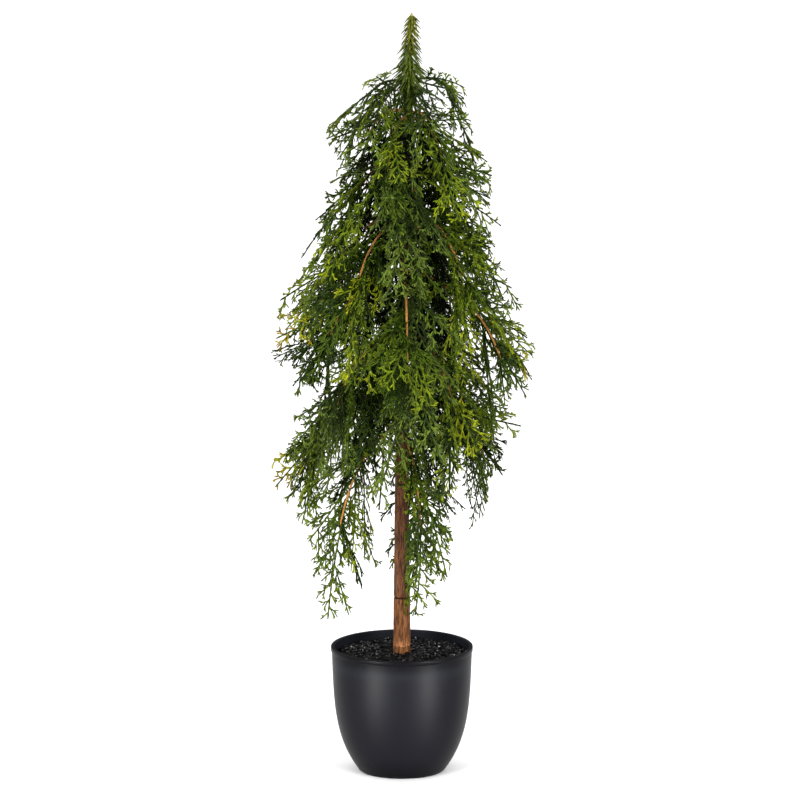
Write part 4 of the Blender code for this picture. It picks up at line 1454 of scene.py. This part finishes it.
class CYPRESS_OT_sprays(Operator):
    """Grows the sprays of every mass, twig by twig, and deals out their shades."""

    bl_idname = "cypress.sprays"
    bl_label = "Sprays"

    def execute(self, context):
        settings = context.scene.cypress_sprays
        limbs = all_limbs()
        crown = Crown(limbs)
        tints = random.Random(TINT_SEED)
        stacks = [TwigStack() for _ in SHADES]
        for limb in limbs:
            full = limb.at(0.0).z > LOWEST_FULL_LIMB
            spare = settings.spare if limb.bare and full else 0
            shades = TOP_TINTS if limb.at(0.0).z > TOP_LIMBS_ABOVE else TINTS
            outer = [(spray, shades) for spray in spray_plan(limb, crown, spare)]
            for place, (spray, choices) in enumerate(outer + self.fillers(limb)):
                rule = random.Random(TWIG_SEED + 100 * limb.number + place)
                tint = tints.choices(choices, [one.weight for one in choices])[0]
                frond = Frond(spray.length, rule, 1.0 if full else LOW_OPEN)
                self.grow(spray, frond, tint.ladder, tints, tints.uniform(*RAGGED), stacks)
        for number, accent in enumerate(ACCENTS):
            spray = accent_spray(limbs[accent.limb - 1], accent)
            frond = Frond(spray.length, random.Random(ACCENT_SEED + number), 1.0)
            self.grow(spray, frond, accent.ladder, tints, ACCENT_REACH, stacks)
        total = 0
        for shade, stack in zip(SHADES, stacks):
            total += stack.triangles()
            print(shade, stack.triangles())
            specular = 0.05 if shade in ("deep", "dark") else 0.12
            material = leaf_material("plastic_" + shade, getattr(settings, shade), specular)
            for number, part in enumerate(stack.parts(PIECE_TRIANGLES), 1):
                name = "sprays_{}_{}".format(shade, number)
                finished(part.build(name), name, material)
                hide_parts(*FOLIAGE_NODES)
        print("triangles of the sprays", total)
        return {"FINISHED"}

    def fillers(self, limb):
        """The sprays that a mass carries close to the trunk, with their tints."""
        rule = random.Random(FILLER_SEED + limb.number)
        if not limb.bare:
            return [(spray, TINTS) for spray in filler_sprays(limb, CREST, rule)]
        height = limb.at(0.0).z
        # The inner sprays take the near-black inner ladders: painted shade of the crown's interior
        kinds = [(INNER, INNER_PAINTED_SHADE_TINTS), (COVER, TINTS)] if height > LOWEST_FULL_LIMB else []
        for filler, heights in ((VEIL, VEIL_HEIGHTS), (TIP, TIP_HEIGHTS)):
            if heights[0] < height < heights[1]:
                kinds.append((filler, TINTS))
        return [(spray, tints) for filler, tints in kinds for spray in filler_sprays(limb, filler, rule)]

    def grow(self, spray, frond, ladder, tints, ragged, stacks):
        counts = [len(line) for line in frond.lines]
        flat = np.array([point for line in frond.lines for point in line])
        placed = in_space(spray, flat)
        inside = within_reach(placed, ragged)
        normal = np.array(spray.normal)
        start = 0
        kept = []
        for line_number, count in enumerate(counts):
            fits = inside[start:start + count]
            fitting = count if fits.all() else int(np.argmin(fits))
            parent, at = frond.parents[line_number]
            if line_number == 0:
                fitting = max(fitting, 2)
            elif kept[parent] <= at:
                fitting = 0
            kept.append(fitting)
            if fitting >= 2:
                tipness = frond.tipness[line_number] + tints.uniform(-TINT_JITTER, TINT_JITTER)
                shade = shade_of(ladder, min(max(tipness, 0.0), 0.999))
                stacks[shade].add(placed[start:start + fitting], normal, frond.orders[line_number])
            start += count


# Needled tip

class CYPRESS_OT_shoot(Operator):
    """Sets the needles of the tip in whorls, longer downwards, over a fuller collar."""

    bl_idname = "cypress.shoot"
    bl_label = "Needled tip"

    def execute(self, context):
        rule = random.Random(8)
        upper = TwigStack()
        lower = TwigStack()
        whorls = 11
        for whorl in range(whorls):
            share = whorl / (whorls - 1)
            height = 0.6560 + (0.6968 - 0.6560) * share
            self.whorl(upper if share > 0.45 else lower, height, 9, 0.0162 - 0.0080 * share**1.5,
                       41.0 + 2.0 * share, rule)
        for whorl in range(9):
            self.whorl(lower, 0.6550 - 0.0029 * whorl, 10, 0.0200, 24.0 + 4.5 * whorl, rule)
        for whorl in range(18):
            self.whorl(lower, 0.634 - 0.0032 * whorl, 8, 0.0125, 66.0, rule)
        settings = context.scene.cypress_sprays
        olive = leaf_material("needle_olive", sRGB(86, 91, 18))
        green = leaf_material("needle_green", sRGB(72, 87, 24))
        for stack, material, name in ((upper, olive, "tip_needles"), (lower, green, "collar_needles")):
            obj = stack.build(name)
            finished(obj, name, material)
            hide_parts("needled_shoot")
        top = OVERALL_HEIGHT
        rings = [(trunk_centre(z).x, z, r) for z, r in (
            (0.6080, 0.0030), (0.6300, 0.0029), (0.6443, 0.0026), (0.6560, 0.0022), (0.6700, 0.0018),
            (0.6850, 0.0015), (0.6950, 0.0013), (top - 0.0016, 0.0010), (top - 0.0004, 0.0004))]
        stem = drawn_through(rings, 16)
        bpy.ops.object.shade_smooth_by_angle(angle=math.radians(60.0))
        finished(stem, "tip_stem", leaf_material("stem_olive", sRGB(140, 126, 50)))
        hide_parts("needled_shoot")
        return {"FINISHED"}

    def whorl(self, stack, height, needles, length, fall, rule):
        first = rule.uniform(0.0, math.tau)
        for place in range(needles):
            turn = first + math.tau * place / needles + rule.uniform(-0.2, 0.2)
            tilt = math.radians(fall + rule.uniform(-7.0, 7.0))
            outward = np.array([math.cos(turn), math.sin(turn), 0.0])
            root = np.array(trunk_centre(height + rule.uniform(-0.0008, 0.0008))) + outward * 0.0008
            reach = length * rule.uniform(0.85, 1.1)
            shares = np.linspace(0.0, 1.0, 5)[:, None]
            heading = outward * math.cos(tilt) - np.array([0.0, 0.0, math.sin(tilt)])
            drop = np.array([0.0, 0.0, -1.0])
            centres = root + heading * reach * shares + drop * reach * 0.10 * shares**2
            normal = np.array([0.0, 0.0, 1.0]) + outward * 0.3
            stack.centres.append(centres)
            stack.normals.append(np.tile(normal, (len(centres), 1)))
            stack.widths.append(np.array([0.00095, 0.00115, 0.00100, 0.00088, 0.00030]))
            stack.counts.append(len(centres))


# Stage

def area_light(name, place, target, size, energy, colour=(1.0, 1.0, 1.0)):
    deselect_all()
    bpy.ops.object.light_add(type="AREA", location=place)
    light = bpy.context.object
    light.name = name
    light.data.shape = "RECTANGLE"
    light.data.size, light.data.size_y = size
    light.data.energy = energy
    light.data.color = colour
    light.rotation_euler = (Vector(target) - Vector(place)).to_track_quat("-Z", "Y").to_euler()
    return light


def floor_material(settings):
    material, tree, shader = new_material("pale_floor")
    place = tree.nodes.new("ShaderNodeTexCoord").outputs["Object"]
    cloud = noise_node(tree, place, 1.5, 2.0)
    colour = mix_colours(tree, cloud.outputs["Fac"], darker(settings.floor, 0.985), settings.floor)
    tree.links.new(colour, shader.inputs["Base Color"])
    shader.inputs["Roughness"].default_value = 0.9
    shader.inputs["Specular IOR Level"].default_value = 0.1
    return material


class CYPRESS_OT_stage(Operator):
    """Sets the pale floor, the soft studio light and the camera."""

    bl_idname = "cypress.stage"
    bl_label = "Stage"

    def execute(self, context):
        settings = context.scene.cypress_stage
        scene = context.scene
        deselect_all()
        bpy.ops.mesh.primitive_plane_add(size=60.0, location=(0.0, 0.0, -0.0002))
        floor = bpy.context.object
        floor.name = "floor"
        floor.data.materials.append(floor_material(settings))
        world = bpy.data.worlds.new("studio")
        world.use_nodes = True
        world.node_tree.nodes["Background"].inputs["Color"].default_value = (1.0, 1.0, 1.0, 1.0)
        world.node_tree.nodes["Background"].inputs["Strength"].default_value = 0.06
        scene.world = world
        for side, name in ((-1.0, "left"), (1.0, "right")):
            area_light(name + "_softbox", (side * 1.6, -2.2, 1.1), (0.0, 0.0, 0.35), (1.1, 1.1), 56.0)
            low = area_light(name + "_low_softbox", (side * 1.37, -1.46, 0.059), (0.0, 0.0, 0.059), (0.8, 0.10), 1.6)
            low.data.spread = math.radians(1.2)
            area_light(name + "_back_softbox", (side * 1.8, 1.9, 1.0), (0.0, 0.0, 0.35), (1.2, 1.6), 6.0)
        area_light("ceiling", (0.0, 0.0, 5.0), (0.0, 0.0, 0.0), (18.0, 18.0), 1500.0)
        self.camera(scene, settings)
        scene.view_settings.view_transform = "Standard"
        scene.view_settings.look = "None"
        return {"FINISHED"}

    def camera(self, scene, settings):
        """The camera looks down on the plant a little, from far away."""
        deselect_all()
        target = Vector((settings.aim_aside, 0.0, settings.aim_height))
        back = Vector((0.0, -math.cos(settings.elevation), math.sin(settings.elevation)))
        bpy.ops.object.camera_add(location=target + back * settings.distance)
        camera = bpy.context.object
        camera.rotation_euler = (-back).to_track_quat("-Z", "Y").to_euler()
        camera.data.sensor_width = 36.0
        camera.data.lens = camera.data.sensor_width / settings.field * settings.distance
        camera.data.clip_end = 100.0
        scene.camera = camera


class CYPRESS_PT_panel(Panel):
    """Lists the pieces of the cypress."""

    bl_label = "Weeping cypress"
    bl_idname = "CYPRESS_PT_panel"
    bl_space_type = "VIEW_3D"
    bl_region_type = "UI"
    bl_category = "Cypress"

    def draw(self, context):
        for operator in OPERATORS:
            self.layout.operator(operator.bl_idname)


SETTINGS = {
    "cypress_pot": PotSettings,
    "cypress_trunk": TrunkSettings,
    "cypress_sprays": SpraySettings,
    "cypress_stage": StageSettings,
}
OPERATORS = (
    CYPRESS_OT_pot, CYPRESS_OT_grit, CYPRESS_OT_trunk, CYPRESS_OT_wires, CYPRESS_OT_sprays,
    CYPRESS_OT_shoot, CYPRESS_OT_stage,
)


def register():
    for name, settings in SETTINGS.items():
        bpy.utils.register_class(settings)
        setattr(bpy.types.Scene, name, PointerProperty(type=settings))
    for operator in OPERATORS:
        bpy.utils.register_class(operator)
    bpy.utils.register_class(CYPRESS_PT_panel)


def unregister():
    bpy.utils.unregister_class(CYPRESS_PT_panel)
    for operator in reversed(OPERATORS):
        bpy.utils.unregister_class(operator)
    for name, settings in SETTINGS.items():
        delattr(bpy.types.Scene, name)
        bpy.utils.unregister_class(settings)


def main():
    register()
    bpy.ops.cypress.pot()
    bpy.ops.cypress.grit()
    bpy.ops.cypress.trunk()
    bpy.ops.cypress.wires()
    bpy.ops.cypress.sprays()
    bpy.ops.cypress.shoot()
    bpy.ops.cypress.stage()


if __name__ == "__main__":
    main()
